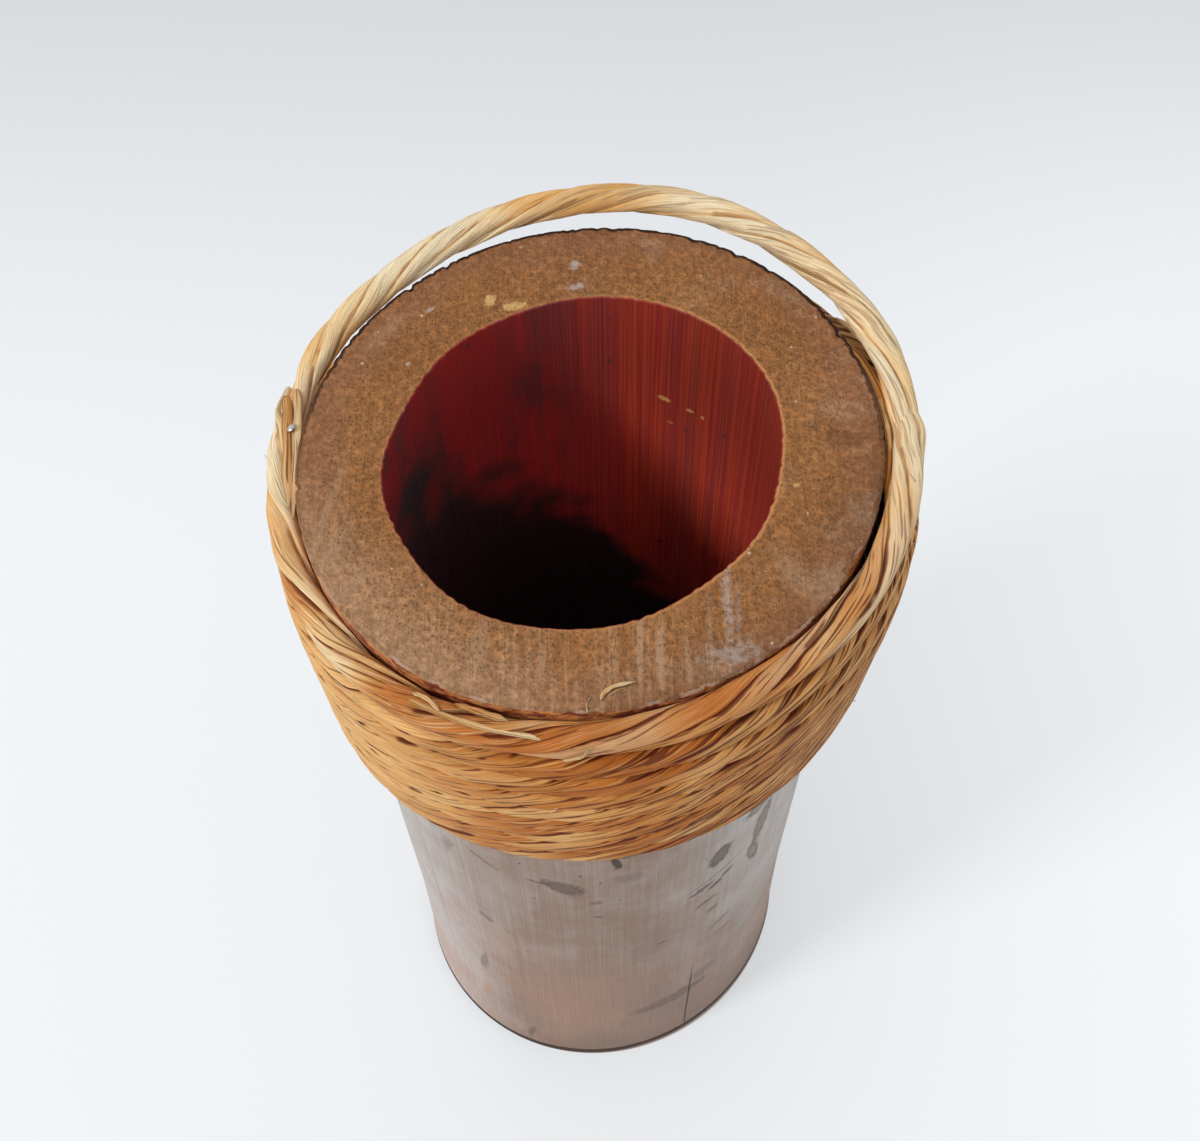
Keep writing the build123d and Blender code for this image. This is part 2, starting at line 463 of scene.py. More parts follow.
@dataclass(frozen=True)
class SkinFinish(MarkedFinish):
    """Weathered silvery-brown skin of the culm, with a painted sheen that turns its sides silver."""

    # The skin's own grey, and the colour of the painted sheen at its sides.
    silver: Colour = (0.562, 0.530, 0.508)
    brown: Colour = (0.264, 0.162, 0.110)
    rosy: Colour = (0.500, 0.245, 0.150)
    stain: Colour = (0.165, 0.105, 0.080)
    # Dark brown of the real dirt in the pits, and of the painted contact-shadow line at the foot.
    dirt: Colour = (0.035, 0.022, 0.016)
    varnish: Colour = (0.230, 0.040, 0.020)
    rust: Colour = (0.74, 0.310, 0.095)
    # Pale brown of the painted reflection at the foot.
    underfoot: Colour = (0.50, 0.360, 0.285)
    relief: float = 0.08 * MM
    gloss: float = 0.13

    def material(self) -> Material:
        """Build the material.

        Returns:
            The material.
        """
        material, graph, shader = self.begin()
        ease, noise, mix = graph.ease, graph.noise, graph.mix
        position = graph.position()
        x, y, z = graph.parts(position)
        fine = streaks(graph, position, (2100.0, 2100.0, 16.0), 0.3, 0.7)
        broad = streaks(graph, position, (620.0, 620.0, 9.0), 0.32, 0.68)
        cloud = noise(position, 26.0, 5.0, 0.6)
        low = ease(z, 0.17, 0.02)
        # Painted sheen and light: the tone falls to silver towards the left side, which faces the lamp, and
        # partly towards the right side, most near the top.
        lean = ease(low * -0.01 + x, -0.063, -0.024)
        right_sheen = ease(x, 0.004, 0.046) * ease(z, 0.05, 0.13, 0.42, 1.0)
        tone = lean * 0.9 + low * 0.26
        tone = right_sheen * -0.56 + tone
        tone = ease(broad, 0.0, 1.0, -0.5, 0.5) * 0.08 + tone
        tone = tone + ease(cloud, 0.34, 0.68, -0.12, 0.14)
        mottle = noise(graph.stretched(position, (1.0, 1.0, 0.7)), 95.0, 3.0, 0.6)
        tone = tone + ease(mottle, 0.36, 0.66, -0.06, 0.06)
        colour = mix(tone, self.silver, self.brown)
        rosy = ease(noise(graph.moved(position, (0.4, 0.1, 0.3)), 19.0, 3.0, 0.55), 0.34, 0.7)
        colour = mix(rosy * low * 0.5, colour, self.rosy)
        colour = graph.shaded(colour, ease(fine, 0.0, 1.0, 0.92, 1.05))
        blotch = ease(noise(position, 130.0, 4.0, 0.65), 0.58, 0.74, 0.0, 0.34)
        colour = mix(blotch, colour, self.stain)
        unmarked = colour
        colour = self.marked(graph, colour, position)
        stained = ease(graph.vector("DISTANCE", unmarked, colour), 0.03, 0.3)
        pits = flecks(graph, graph.stretched(position, (1.0, 1.0, 0.5)), 420.0, 0.16, 0.12)
        under_cord = ease(z, 0.12, 0.19, 0.3, 1.0)
        colour = mix(pits * under_cord, colour, self.dirt)
        # Painted reflection and contact shadow: the lowest few millimetres of skin take a pale brown band, as
        # the culm's reflection in the table, under a dark line where the culm meets the table.
        foot_top = ease(x, -0.045, 0.045, 0.005, 0.009)
        foot_high = cloud * 0.003 + z - foot_top
        foot = ease(foot_high, 0.0012, -0.0006)
        line = foot * ease(foot_high, -0.005, -0.003, 0.1, 1.0)
        colour = mix(foot, colour, mix(line, self.underfoot, self.dirt))
        # Darker in the 20 mm just above the foot band, except at the far left.
        near_foot_darkening = ease(z - foot_top, 0.02, 0.0)
        colour = mix(near_foot_darkening * lean * 0.3, colour, self.stain)
        ragged_top = z + ease(noise(position, 160.0, 3.0, 0.6), 0.3, 0.7, -0.006, 0.006)
        lip = ease(ragged_top, self.top - 0.016, self.top - 0.01) * ease(y, 0.035, -0.015, 0.3, 0.94)
        rind = ease(noise(graph.stretched(position, (1.0, 1.0, 2.4)), 210.0, 4.0, 0.65), 0.42, 0.62)
        colour = mix(lip, colour, mix(rind, self.varnish, self.rust))
        graph.feed(shader.inputs["Base Color"], colour)
        shader.inputs["Roughness"].default_value = self.roughness + 0.08
        matt = graph.larger(line, stained * 0.8)
        graph.feed(shader.inputs["Specular IOR Level"], matt * -0.12 + self.gloss)
        self.bump(graph, shader, fine, self.relief)
        return material


@dataclass(frozen=True)
class SawnFinish(MarkedFinish):
    """Sawn end grain of the rim and the base."""

    brown: Colour = (0.318, 0.134, 0.049)
    orange: Colour = (0.370, 0.158, 0.055)
    dark: Colour = (0.145, 0.055, 0.020)
    grey: Colour = (0.325, 0.145, 0.068)
    pale: Colour = (0.52, 0.315, 0.170)
    ash: Colour = (0.40, 0.235, 0.140)
    # Orange of the bore's edge, partly its own colour and partly a painted highlight.
    glow: Colour = (0.62, 0.290, 0.105)
    spark: Colour = (0.72, 0.56, 0.40)
    # Colour of the painted highlight along the front edge.
    crest: Colour = (0.66, 0.44, 0.33)
    # Colour of the painted shadow along the outer edge.
    black: Colour = (0.030, 0.014, 0.009)
    relief: float = 0.62 * MM
    gloss: float = 0.08

    def material(self) -> Material:
        """Build the material.

        Returns:
            The material.
        """
        material, graph, shader = self.begin()
        ease, noise, mix = graph.ease, graph.noise, graph.mix
        position = graph.position()
        x, y, _ = graph.parts(position)
        inner = graph.own("from_bore")
        fibrous = ease(inner, 0.86, 0.52)
        pores = flecks(graph, position, 1300.0, 0.4, 0.62) * fibrous
        bundles = flecks(graph, graph.moved(position, (0.0002, 0.0002, 0.0)), 1300.0, 0.34, 0.5) * fibrous
        sparks = flecks(graph, graph.moved(position, (0.3, 0.7, 0.0)), 330.0, 0.14, 0.11)
        saw = streaks(graph, position, (780.0, 46.0, 1.0), 0.46, 0.66)
        slant = streaks(graph, graph.moved(position, (0.3, 0.0, 0.0)), (170.0, 70.0, 1.0), 0.38, 0.68)
        grit = noise(position, 1250.0, 3.0, 0.7)
        leathery = noise(graph.moved(position, (0.0, 0.0, 0.4)), 560.0, 2.0, 0.5)
        cloud = noise(position, 60.0, 5.0, 0.65)
        drift = noise(position, 24.0, 2.0, 0.5)
        weathered = ease(inner + ease(drift, 0.3, 0.7, -0.25, 0.25), 0.35, 0.85)
        colour = mix(weathered, self.orange, self.grey)
        colour = mix(ease(cloud, 0.4, 0.66, 0.0, 0.6), colour, self.brown)
        ashy = ease(noise(graph.moved(position, (0.9, 0.2, 0.0)), 85.0, 4.0, 0.6), 0.5, 0.66)
        outward = ease(inner, 0.3, 0.85, 0.25, 1.0)
        colour = mix(ashy * outward * ease(x, -0.04, 0.04, 0.2, 0.72), colour, self.ash)
        colour = mix(slant * 0.16, colour, self.dark)
        front = ease(y, -0.03, -0.044)
        patch = graph.larger(ease(drift, 0.5, 0.62, 0.0, 0.45), front)
        colour = mix(saw * patch * ease(x, 0.0, 0.03, 0.42, 0.2), colour, self.pale)
        # Painted light: the rim's front-left, towards the lamp, made paler.
        lit_front_left = ease(x + y, -0.056, -0.082)
        colour = mix(lit_front_left * 0.52, colour, self.pale)
        corner = ease(x - y, 0.052, 0.08, 1.0, 0.84)
        shade = ease(grit, 0.34, 0.72, 0.8, 1.28) * ease(leathery, 0.4, 0.7, 0.9, 1.18)
        colour = graph.shaded(colour, shade * corner)
        colour = mix(pores * 0.08, colour, self.dark)
        colour = mix(bundles * 0.34, colour, self.pale)
        colour = mix(sparks * 0.7, colour, self.spark)
        # Orange along the bore's edge: the lacquer's own edge colour, made stronger towards the right as a
        # painted highlight.
        lip = ease(leathery * 0.05 + inner, 0.066, 0.042)
        colour = mix(lip * ease(x, -0.015, 0.035, 0.15, 0.8), colour, self.glow)
        # Painted highlight: a pale, broken line along the outer edge at the front.
        crest = ease(grit * 0.05 + inner, 0.998, 1.014) * ease(y, -0.015, -0.035)
        crest = crest * ease(noise(position, 190.0, 2.0), 0.46, 0.6)
        colour = mix(crest * 0.6, colour, self.crest)
        colour = self.marked(graph, colour, position)
        # Painted shadow: a ragged black line along the outer edge, strongest at the back, where the gap by
        # the cord lies in shade.
        behind = ease(y, -0.02, 0.03, 0.2, 1.0)
        torn = noise(position, 330.0, 4.0, 0.7)
        edge = ease(torn * 0.085 + inner, 0.998, 1.022)
        colour = mix(edge * behind * 0.94, colour, self.black)
        graph.feed(shader.inputs["Base Color"], colour)
        shader.inputs["Specular IOR Level"].default_value = self.gloss
        relief = leathery * 0.9 + (grit + saw * 0.2) - pores * 0.35 + bundles * 0.45
        self.bump(graph, shader, relief, self.relief)
        return material


@dataclass(frozen=True)
class LacquerFinish(MarkedFinish):
    """Dark red lacquer over the bore's grain, with painted shade and light in the bore."""

    red: Colour = (0.325, 0.028, 0.026)
    orange: Colour = (0.58, 0.090, 0.026)
    # Black of the real dark bands and specks, and of the painted shade and shadow.
    black: Colour = (0.045, 0.045, 0.047)
    relief: float = 0.16 * MM
    gloss: float = 0.30

    def material(self) -> Material:
        """Build the material.

        Returns:
            The material.
        """
        material, graph, shader = self.begin()
        ease, noise, mix = graph.ease, graph.noise, graph.mix
        position = graph.position()
        x, y, z = graph.parts(position)
        lines = streaks(graph, position, (1500.0, 1500.0, 11.0), 0.32, 0.68)
        bands = streaks(graph, position, (230.0, 230.0, 6.0), 0.42, 0.66)
        warm = ease(y * 0.35 + x, -0.01, 0.04)
        colour = mix(lines * warm * 0.58, self.red, self.orange)
        colour = mix(bands * 0.26, colour, self.black)
        # Painted light: the lacquer made brighter deeper down and on the left, where the bore lies in shade.
        shade_lift = ease(z, self.top - 0.012, self.top - 0.085, 0.8, 1.75) * ease(x, 0.028, 0.004, 1.0, 1.3)
        colour = graph.shaded(colour, shade_lift)
        # Dark smudges on the left wall: partly real smudges, partly painted shade on the wall that the lamp
        # does not reach.
        smudge_and_shade = ease(noise(graph.stretched(position, (1.0, 1.0, 0.45)), 60.0, 4.0, 0.65), 0.5, 0.68)
        left = ease(x, 0.01, -0.022)
        colour = mix(left * smudge_and_shade * 0.6, colour, self.black)
        # Painted shadow: the rim's shadow on the bore's wall, black below a line that slopes down towards the
        # right.
        ripple = noise(position, 45.0, 3.0, 0.5)
        border = graph.maths("MINIMUM", x, 0.014) * 1.7 + z + ease(ripple, 0.3, 0.7, -0.012, 0.012)
        painted_shadow = ease(border, self.top - 0.082, self.top - 0.106)
        colour = mix(painted_shadow * 0.96, colour, self.black)
        # Painted shade: the lacquer darkens towards black deep in the bore.
        deep = ease(z, self.top - 0.125, self.top - 0.2)
        colour = mix(deep * 0.7, colour, self.black)
        specks = flecks(graph, graph.stretched(position, (1.0, 1.0, 0.5)), 230.0, 0.13, 0.14)
        colour = mix(specks * 0.75, colour, self.black)
        colour = self.marked(graph, colour, position)
        graph.feed(shader.inputs["Base Color"], colour)
        shader.inputs["Specular IOR Level"].default_value = self.gloss
        self.bump(graph, shader, lines, self.relief)
        return material


@dataclass(frozen=True)
class RushFinish(Finish):
    """Dried rush leaf, twisted into cord."""

    cream: Colour = (0.95, 0.755, 0.50)
    gold: Colour = (0.83, 0.545, 0.275)
    amber: Colour = (0.56, 0.240, 0.070)
    seam: Colour = (0.17, 0.042, 0.014)
    variety: float = 1.0
    ageing: float = 0.0
    seam_share: float = 0.5
    seam_width: float = 0.085
    fold_strength: float = 0.75
    crack_share: float = 0.5
    patches: float = 0.0
    toasted: float = 0.0
    right_seams: float = 0.0
    bleached: float = 0.0
    behind: tuple[Colour, ...] = ()
    relief: float = 0.44 * MM
    gloss: float = 0.06

    def material(self) -> Material:
        """Build the material from the cord's own leaf attributes.

        Returns:
            The material.
        """
        material, graph, shader = self.begin()
        ease, noise, mix = graph.ease, graph.noise, graph.mix
        position = graph.position()
        across, along, leaf = graph.own("leaf_across"), graph.own("leaf_along"), graph.own("leaf_number")
        side = leaf + across
        whole = graph.maths("FLOOR", leaf + 0.01)

        def over(runs: float, sides: float, apart: float, detail: float = 2.0, rough: float = 0.6,
                 leafwise: bool = False) -> Value:
            """Return noise along and across the leaves, or one value across each."""
            place = graph.xyz(along * runs, (whole if leafwise else side) * sides, apart)
            return noise(place, 1.0, detail, rough)

        x, y, z = graph.parts(position)
        cream, gold, amber, seam = self.cream, self.gold, self.amber, self.seam
        if self.behind:
            back = ease(y, -0.042, -0.006)
            pairs = zip((cream, gold, amber, seam), self.behind)
            cream, gold, amber, seam = (mix(back, near, far) for near, far in pairs)
        fibres = over(45.0, 13.0, 0.0, 3.0, 0.65)
        hair = over(110.0, 38.0, 3.0)
        tone = ease(over(26.0, 3.7, 5.0, 1.0, 0.5, True), 0.32, 0.68)
        tone = (tone - 0.5) * self.variety + 0.5
        colour = mix(ease(tone, 0.0, 0.6), cream, gold)
        old = ease(tone + self.ageing, 0.45, 1.15)
        colour = mix(old, colour, amber)
        colour = mix(ease(fibres, 0.5, 0.64) * 0.6, colour, amber)
        colour = mix(ease(fibres, 0.47, 0.34) * 0.74, colour, cream)
        colour = graph.shaded(colour, ease(hair, 0.3, 0.7, 0.85, 1.1))
        if self.patches:
            patch = ease(noise(position, 45.0, 3.0, 0.55), 0.38, 0.66)
            colour = mix(patch * self.patches, colour, amber)
        # Painted light: the cord made paler towards its left side, which faces the lamp, and partly towards
        # its right side, for its highlights.
        if self.bleached:
            sides = graph.larger(ease(x, -0.01, -0.052), ease(x, 0.018, 0.05, 0.0, 0.6))
            colour = mix(sides * self.bleached, colour, cream)
        # More amber towards the front and front right, and more so lower down.
        if self.toasted:
            turned = ease(x * 0.6 + y * -1.0, 0.024, 0.066) * ease(z, 0.24, 0.206, 1.0, 2.2)
            leafwise = ease(over(34.0, 4.3, 55.0, 1.0, 0.5, True), 0.36, 0.6, 0.25, 1.0)
            colour = mix(turned * leafwise * self.toasted, colour, amber)
        nearer = ease(x, -0.05, 0.046, -0.5 * self.right_seams, self.right_seams)
        gate_low = 0.62 - 0.25 * self.seam_share
        gate = ease(over(75.0, 5.3, 9.0, 2.0, 0.6, True) + nearer, gate_low, gate_low + 0.07)
        brown = ease(across, 0.26, 0.02)
        colour = mix(brown * 0.68, colour, amber)
        swell = ease(over(95.0, 6.1, 71.0, 2.0, 0.6, True), 0.34, 0.66, 0.35, 1.9)
        line = ease(across / (swell * self.seam_width), 1.0, 0.45) * gate
        fold_place = ease(over(30.0, 7.1, 31.0, 1.0, 0.5, True), 0.3, 0.7, 0.3, 0.75)
        fold = ease(graph.maths("ABSOLUTE", across - fold_place), 0.045, 0.012)
        fold = fold * ease(over(60.0, 9.7, 41.0, 2.0, 0.6, True), gate_low + 0.04, gate_low + 0.1)
        dark = graph.larger(line * 0.94, fold * self.fold_strength)
        crack_low = 0.76 - 0.2 * self.crack_share
        cracks = ease(over(62.0, 7.0, 21.0, 1.0, 0.5) + nearer, crack_low, crack_low + 0.035)
        dark = graph.larger(dark, cracks * 0.75)
        if self.behind:
            dark = dark * ease(back, 0.0, 1.0, 1.0, 0.52)
        colour = mix(dark, colour, seam)
        graph.feed(shader.inputs["Base Color"], colour)
        shader.inputs["Specular IOR Level"].default_value = self.gloss
        self.bump(graph, shader, fibres + hair * 0.5 - dark * 0.7, self.relief)
        return material


@dataclass(frozen=True)
class SteelFinish(Finish):
    """Bright steel of the brads, with a little tarnish and a painted shadow ring at the edge of each head."""

    bright: Colour = (0.72, 0.70, 0.66)
    tarnish: Colour = (0.30, 0.22, 0.15)

    def material(self) -> Material:
        """Build the material.

        Returns:
            The material.
        """
        material, graph, shader = self.begin()
        position = graph.position()
        spots = graph.ease(graph.noise(position, 1400.0, 3.0, 0.6), 0.52, 0.68)
        # Painted shadow: the edge of each head turns dark, for the ring of shade round it.
        brim = graph.own("from_middle")
        spots = graph.larger(spots, graph.ease(brim, 0.8, 0.98))
        graph.feed(shader.inputs["Base Color"], graph.mix(spots, self.bright, self.tarnish))
        graph.feed(shader.inputs["Roughness"], graph.ease(spots, 0.0, 1.0, self.roughness, 0.6))
        graph.feed(shader.inputs["Metallic"], graph.ease(spots, 0.0, 1.0, 1.0, 0.5))
        return material


def smooth_step(value: float | np.ndarray, low: float, high: float) -> float | np.ndarray:
    """Rise smoothly from 0 at low to 1 at high."""
    share = np.clip((value - low) / (high - low), 0.0, 1.0)
    return share * share * (3 - 2 * share)


def round_noise(angles: np.ndarray, waves: tuple[int, int], seed: int) -> np.ndarray:
    """Noise round a circle, from -1 to 1 or so.

    Args:
        angles: Angles in radians.
        waves: Fewest and most waves in one round.
        seed: Seed of its phases.

    Returns:
        One value for each angle, the same after a full turn.
    """
    random = np.random.default_rng(seed)
    counts = np.arange(waves[0], waves[1] + 1)
    phases = random.uniform(0, FULL_TURN, len(counts))
    sizes = random.normal(0, 1, len(counts)) / math.sqrt(len(counts))
    return (np.sin(np.multiply.outer(angles, counts) + phases) * sizes).sum(-1)


def new_object(name: str, data: bpy.types.ID) -> Object:
    """Make an object at the origin and put it in the scene.

    Args:
        name: Object name.
        data: Its mesh, curve, lamp or camera.

    Returns:
        The object.
    """
    thing = bpy.data.objects.new(name, data)
    bpy.context.scene.collection.objects.link(thing)
    return thing


def mesh_object(name: str, points: np.ndarray, faces: list, material: Material) -> Object:
    """Make a mesh object at the origin, with its place in its mesh.

    Args:
        name: Object name.
        points: Corner positions, in metres.
        faces: Corner numbers of each face.
        material: First material.

    Returns:
        The linked object.
    """
    mesh = bpy.data.meshes.new(name)
    mesh.from_pydata([tuple(point) for point in points], [], faces)
    mesh.materials.append(material)
    return new_object(name, mesh)


def set_values(mesh: Mesh, name: str, values: np.ndarray) -> None:
    """Store one number for each corner point of a mesh."""
    attribute = mesh.attributes.new(name, "FLOAT", "POINT")
    attribute.data.foreach_set("value", np.asarray(values, np.float32))


@dataclass
class Culm:
    """The bamboo culm: oval skin, sawn rim and base, lacquered bore and its node."""

    height: float = 270 * MM
    long_radius: float = 61.4 * MM
    short_radius: float = 58.6 * MM
    turn: float = 45.0
    waist_depth: float = 1.5 * MM
    waist_shares: tuple = ((0.0, -0.3), (0.06, 0.35), (0.25, 1.0), (0.60, 1.0), (0.85, 0.5), (1.0, 0.0))
    base_bevel: float = 0.8 * MM
    rim_bevel: float = 0.3 * MM
    bore_long_radius: float = 42.3 * MM
    bore_short_radius: float = 38.8 * MM
    bore_turn: float = 47.0
    bore_offset: tuple[float, float] = (-1.25 * MM, -1.5 * MM)
    floor_thickness: float = 13 * MM
    floor_fillet: float = 11 * MM
    segments: int = 540
    skin_rows: int = 56
    rim_rows: int = 22
    bore_rows: int = 34
    chip_depth: float = 0.9 * MM
    chipped_places: tuple = ((27.0, 9.0, 0.9), (-97.0, 7.0, 0.8), (-28.0, 4.0, 1.1), (88.0, 16.0, 0.5))
    angles: np.ndarray = field(init=False)

    def __post_init__(self) -> None:
        """Lay out the angles of the mesh's columns."""
        self.angles = np.linspace(0, FULL_TURN, self.segments, endpoint=False)

    @staticmethod
    def oval(long_radius: float, short_radius: float, angle: float | np.ndarray) -> float | np.ndarray:
        """Return an oval's radius at an angle, in radians, from its long axis."""
        return long_radius * short_radius / np.hypot(
            short_radius * np.cos(angle), long_radius * np.sin(angle))

    def inset(self, height: float) -> float:
        """Return how far the waist draws the skin in at a height."""
        places, depths = zip(*self.waist_shares)
        return self.waist_depth * float(np.interp(height / self.height, places, depths))

    def radius(self, angle: float | np.ndarray, height: float) -> float | np.ndarray:
        """Return the skin's radius at an angle, in radians, and a height."""
        inset = self.inset(height)
        return self.oval(self.long_radius - inset, self.short_radius - inset, angle - math.radians(self.turn))

    def ring(self, radius: np.ndarray, height: float | np.ndarray, offset: tuple = (0.0, 0.0)) -> np.ndarray:
        """Return one ring of points."""
        return np.stack([radius * np.cos(self.angles) + offset[0], radius * np.sin(self.angles) + offset[1],
                         np.broadcast_to(height, radius.shape)], -1)

    def chips(self) -> np.ndarray:
        """Return how deep the rim's outer edge is chipped at each angle.

        Returns:
            Depths in metres.
        """
        ragged = np.maximum(0, round_noise(self.angles, (30, 120), 7) - 0.55) * 0.8
        ragged += np.maximum(0, round_noise(self.angles, (110, 220), 9) - 0.5) * 0.35
        for centre, reach, depth in self.chipped_places:
            gap = (np.degrees(self.angles) - centre + 180) % 360 - 180
            near = np.exp(-(gap / reach) ** 2)
            ragged += near * depth * (0.45 + 0.55 * np.maximum(0, round_noise(self.angles, (60, 160), 11)))
        return np.minimum(ragged, 1.3) * self.chip_depth

    def skin_rings(self) -> list[np.ndarray]:
        """Return the rings from the base's bevel up to the rim's.

        Returns:
            Rings of points, upwards.
        """
        shares = np.linspace(0, 1, self.skin_rows)
        shares = shares + np.sin(shares * FULL_TURN) * -0.6 / FULL_TURN
        low, high = self.base_bevel, self.height - self.rim_bevel
        flutes = round_noise(self.angles, (40, 200), 3) * 0.04 * MM
        swell = round_noise(self.angles, (2, 9), 4) * 0.10 * MM
        chips = self.chips()
        rings = []
        for share in shares:
            height = low + (high - low) * share
            ends = smooth_step(share, 0.0, 0.03) * smooth_step(share, 1.0, 0.97)
            near_rim = smooth_step(height, self.height - 2.2 * MM, self.height - 0.2 * MM)
            radius = self.radius(self.angles, height) + flutes * ends + swell * ends * math.sin(share * 9)
            rings.append(self.ring(radius - chips * near_rim * 0.8, height))
        return rings

    @property
    def rim_shares(self) -> np.ndarray:
        """Return how far in from the outer edge each ring of the rim lies, from 0 to 1."""
        return np.linspace(0, 1, self.rim_rows) ** 1.25

    def rim_rings(self) -> list[np.ndarray]:
        """Return the rings across the sawn rim, from the outside in.

        Returns:
            Rings of points, inwards.
        """
        outer = self.radius(self.angles, self.height) - self.rim_bevel
        inner = self.bore_radius() + 0.25 * MM
        chips = self.chips()
        offset = np.array(self.bore_offset)
        uneven = round_noise(self.angles, (3, 14), 21) * 0.05 * MM
        rings = []
        for share in self.rim_shares:
            near_edge = 1 - smooth_step(share, 0.0, 0.09)
            radius = outer + (inner - outer) * share - chips * near_edge * 0.9
            height = self.height - chips * near_edge * 0.55 + uneven * math.sin(share * math.pi)
            rings.append(self.ring(radius, height, tuple(offset * share)))
        return rings

    def bore_oval(self) -> np.ndarray:
        """Return the bore's radius at each angle, were it quite even."""
        return self.oval(self.bore_long_radius, self.bore_short_radius,
                         self.angles - math.radians(self.bore_turn))

    def bore_radius(self) -> np.ndarray:
        """Return the bore's radius at each angle, a little uneven, as it grew.

        Returns:
            Radii in metres.
        """
        radius = self.bore_oval() + round_noise(self.angles, (3, 8), 31) * 0.30 * MM
        return radius + round_noise(self.angles, (30, 120), 32) * 0.09 * MM

    def bore_rings(self) -> list[np.ndarray]:
        """Return the rings from the rim down the bore and over its node.

        Returns:
            Rings of points, down and inwards.
        """
        radius = self.bore_radius()
        smooth = self.bore_oval()
        rings = [self.ring(radius, self.height - 0.25 * MM, self.bore_offset)]
        bottom = self.floor_thickness + self.floor_fillet
        for share in np.linspace(0, 1, self.bore_rows)[1:]:
            height = self.height - 0.25 * MM - (self.height - bottom) * share
            rings.append(self.ring(radius + (smooth - radius) * share, height, self.bore_offset))
        for step in range(1, 9):
            bend = math.radians(90 * step / 8)
            rings.append(self.ring(smooth - self.floor_fillet * (1 - math.cos(bend)),
                                   bottom - self.floor_fillet * math.sin(bend), self.bore_offset))
        flat = smooth - self.floor_fillet
        for share in (0.75, 0.5, 0.25, 0.08):
            rings.append(self.ring(flat * share, self.floor_thickness, self.bore_offset))
        return rings

    def build(self, finishes: list[Material]) -> Object:
        """Build the culm as one closed mesh.

        Args:
            finishes: Materials of the skin, the sawn faces and the bore.

        Returns:
            The culm.
        """
        foot = self.radius(self.angles, 0.0) - self.base_bevel
        base_shares = (0.2, 0.5, 0.8, 0.97)
        base = [self.ring(foot * share / base_shares[-1], 0.0) for share in base_shares]
        groups = [(base, 1), (self.skin_rings(), 0), (self.rim_rings(), 1), (self.bore_rings(), 2)]
        rings = [ring for group, _ in groups for ring in group]
        finish_of = [finish for group, finish in groups for _ in group]
        points = np.concatenate([*rings, [[0.0, 0.0, 0.0]],
                                 [[*self.bore_offset, self.floor_thickness]]])
        faces, finish = [], []
        count = self.segments
        for row in range(len(rings) - 1):
            for column in range(count):
                beside = (column + 1) % count
                start, above = row * count, (row + 1) * count
                faces.append((start + column, start + beside, above + beside, above + column))
                finish.append(finish_of[row + 1])
        last = (len(rings) - 1) * count
        centre = len(rings) * count
        for column in range(count):
            beside = (column + 1) % count
            faces.append((centre, beside, column))
            finish.append(1)
            faces.append((last + column, last + beside, centre + 1))
            finish.append(2)
        culm = mesh_object("culm", points, faces, finishes[0])
        for material in finishes[1:]:
            culm.data.materials.append(material)
        culm.data.polygons.foreach_set("material_index", finish)
        ring_values = [*base_shares, *[1.0] * len(groups[1][0]), *(1 - self.rim_shares),
                       *[0.0] * len(groups[3][0])]
        set_values(culm.data, "from_bore", np.concatenate([np.repeat(ring_values, count), [0.0, 0.0]]))
        culm.data.shade_smooth()
        culm.data.set_sharp_from_angle(angle=math.radians(40))
        return culm


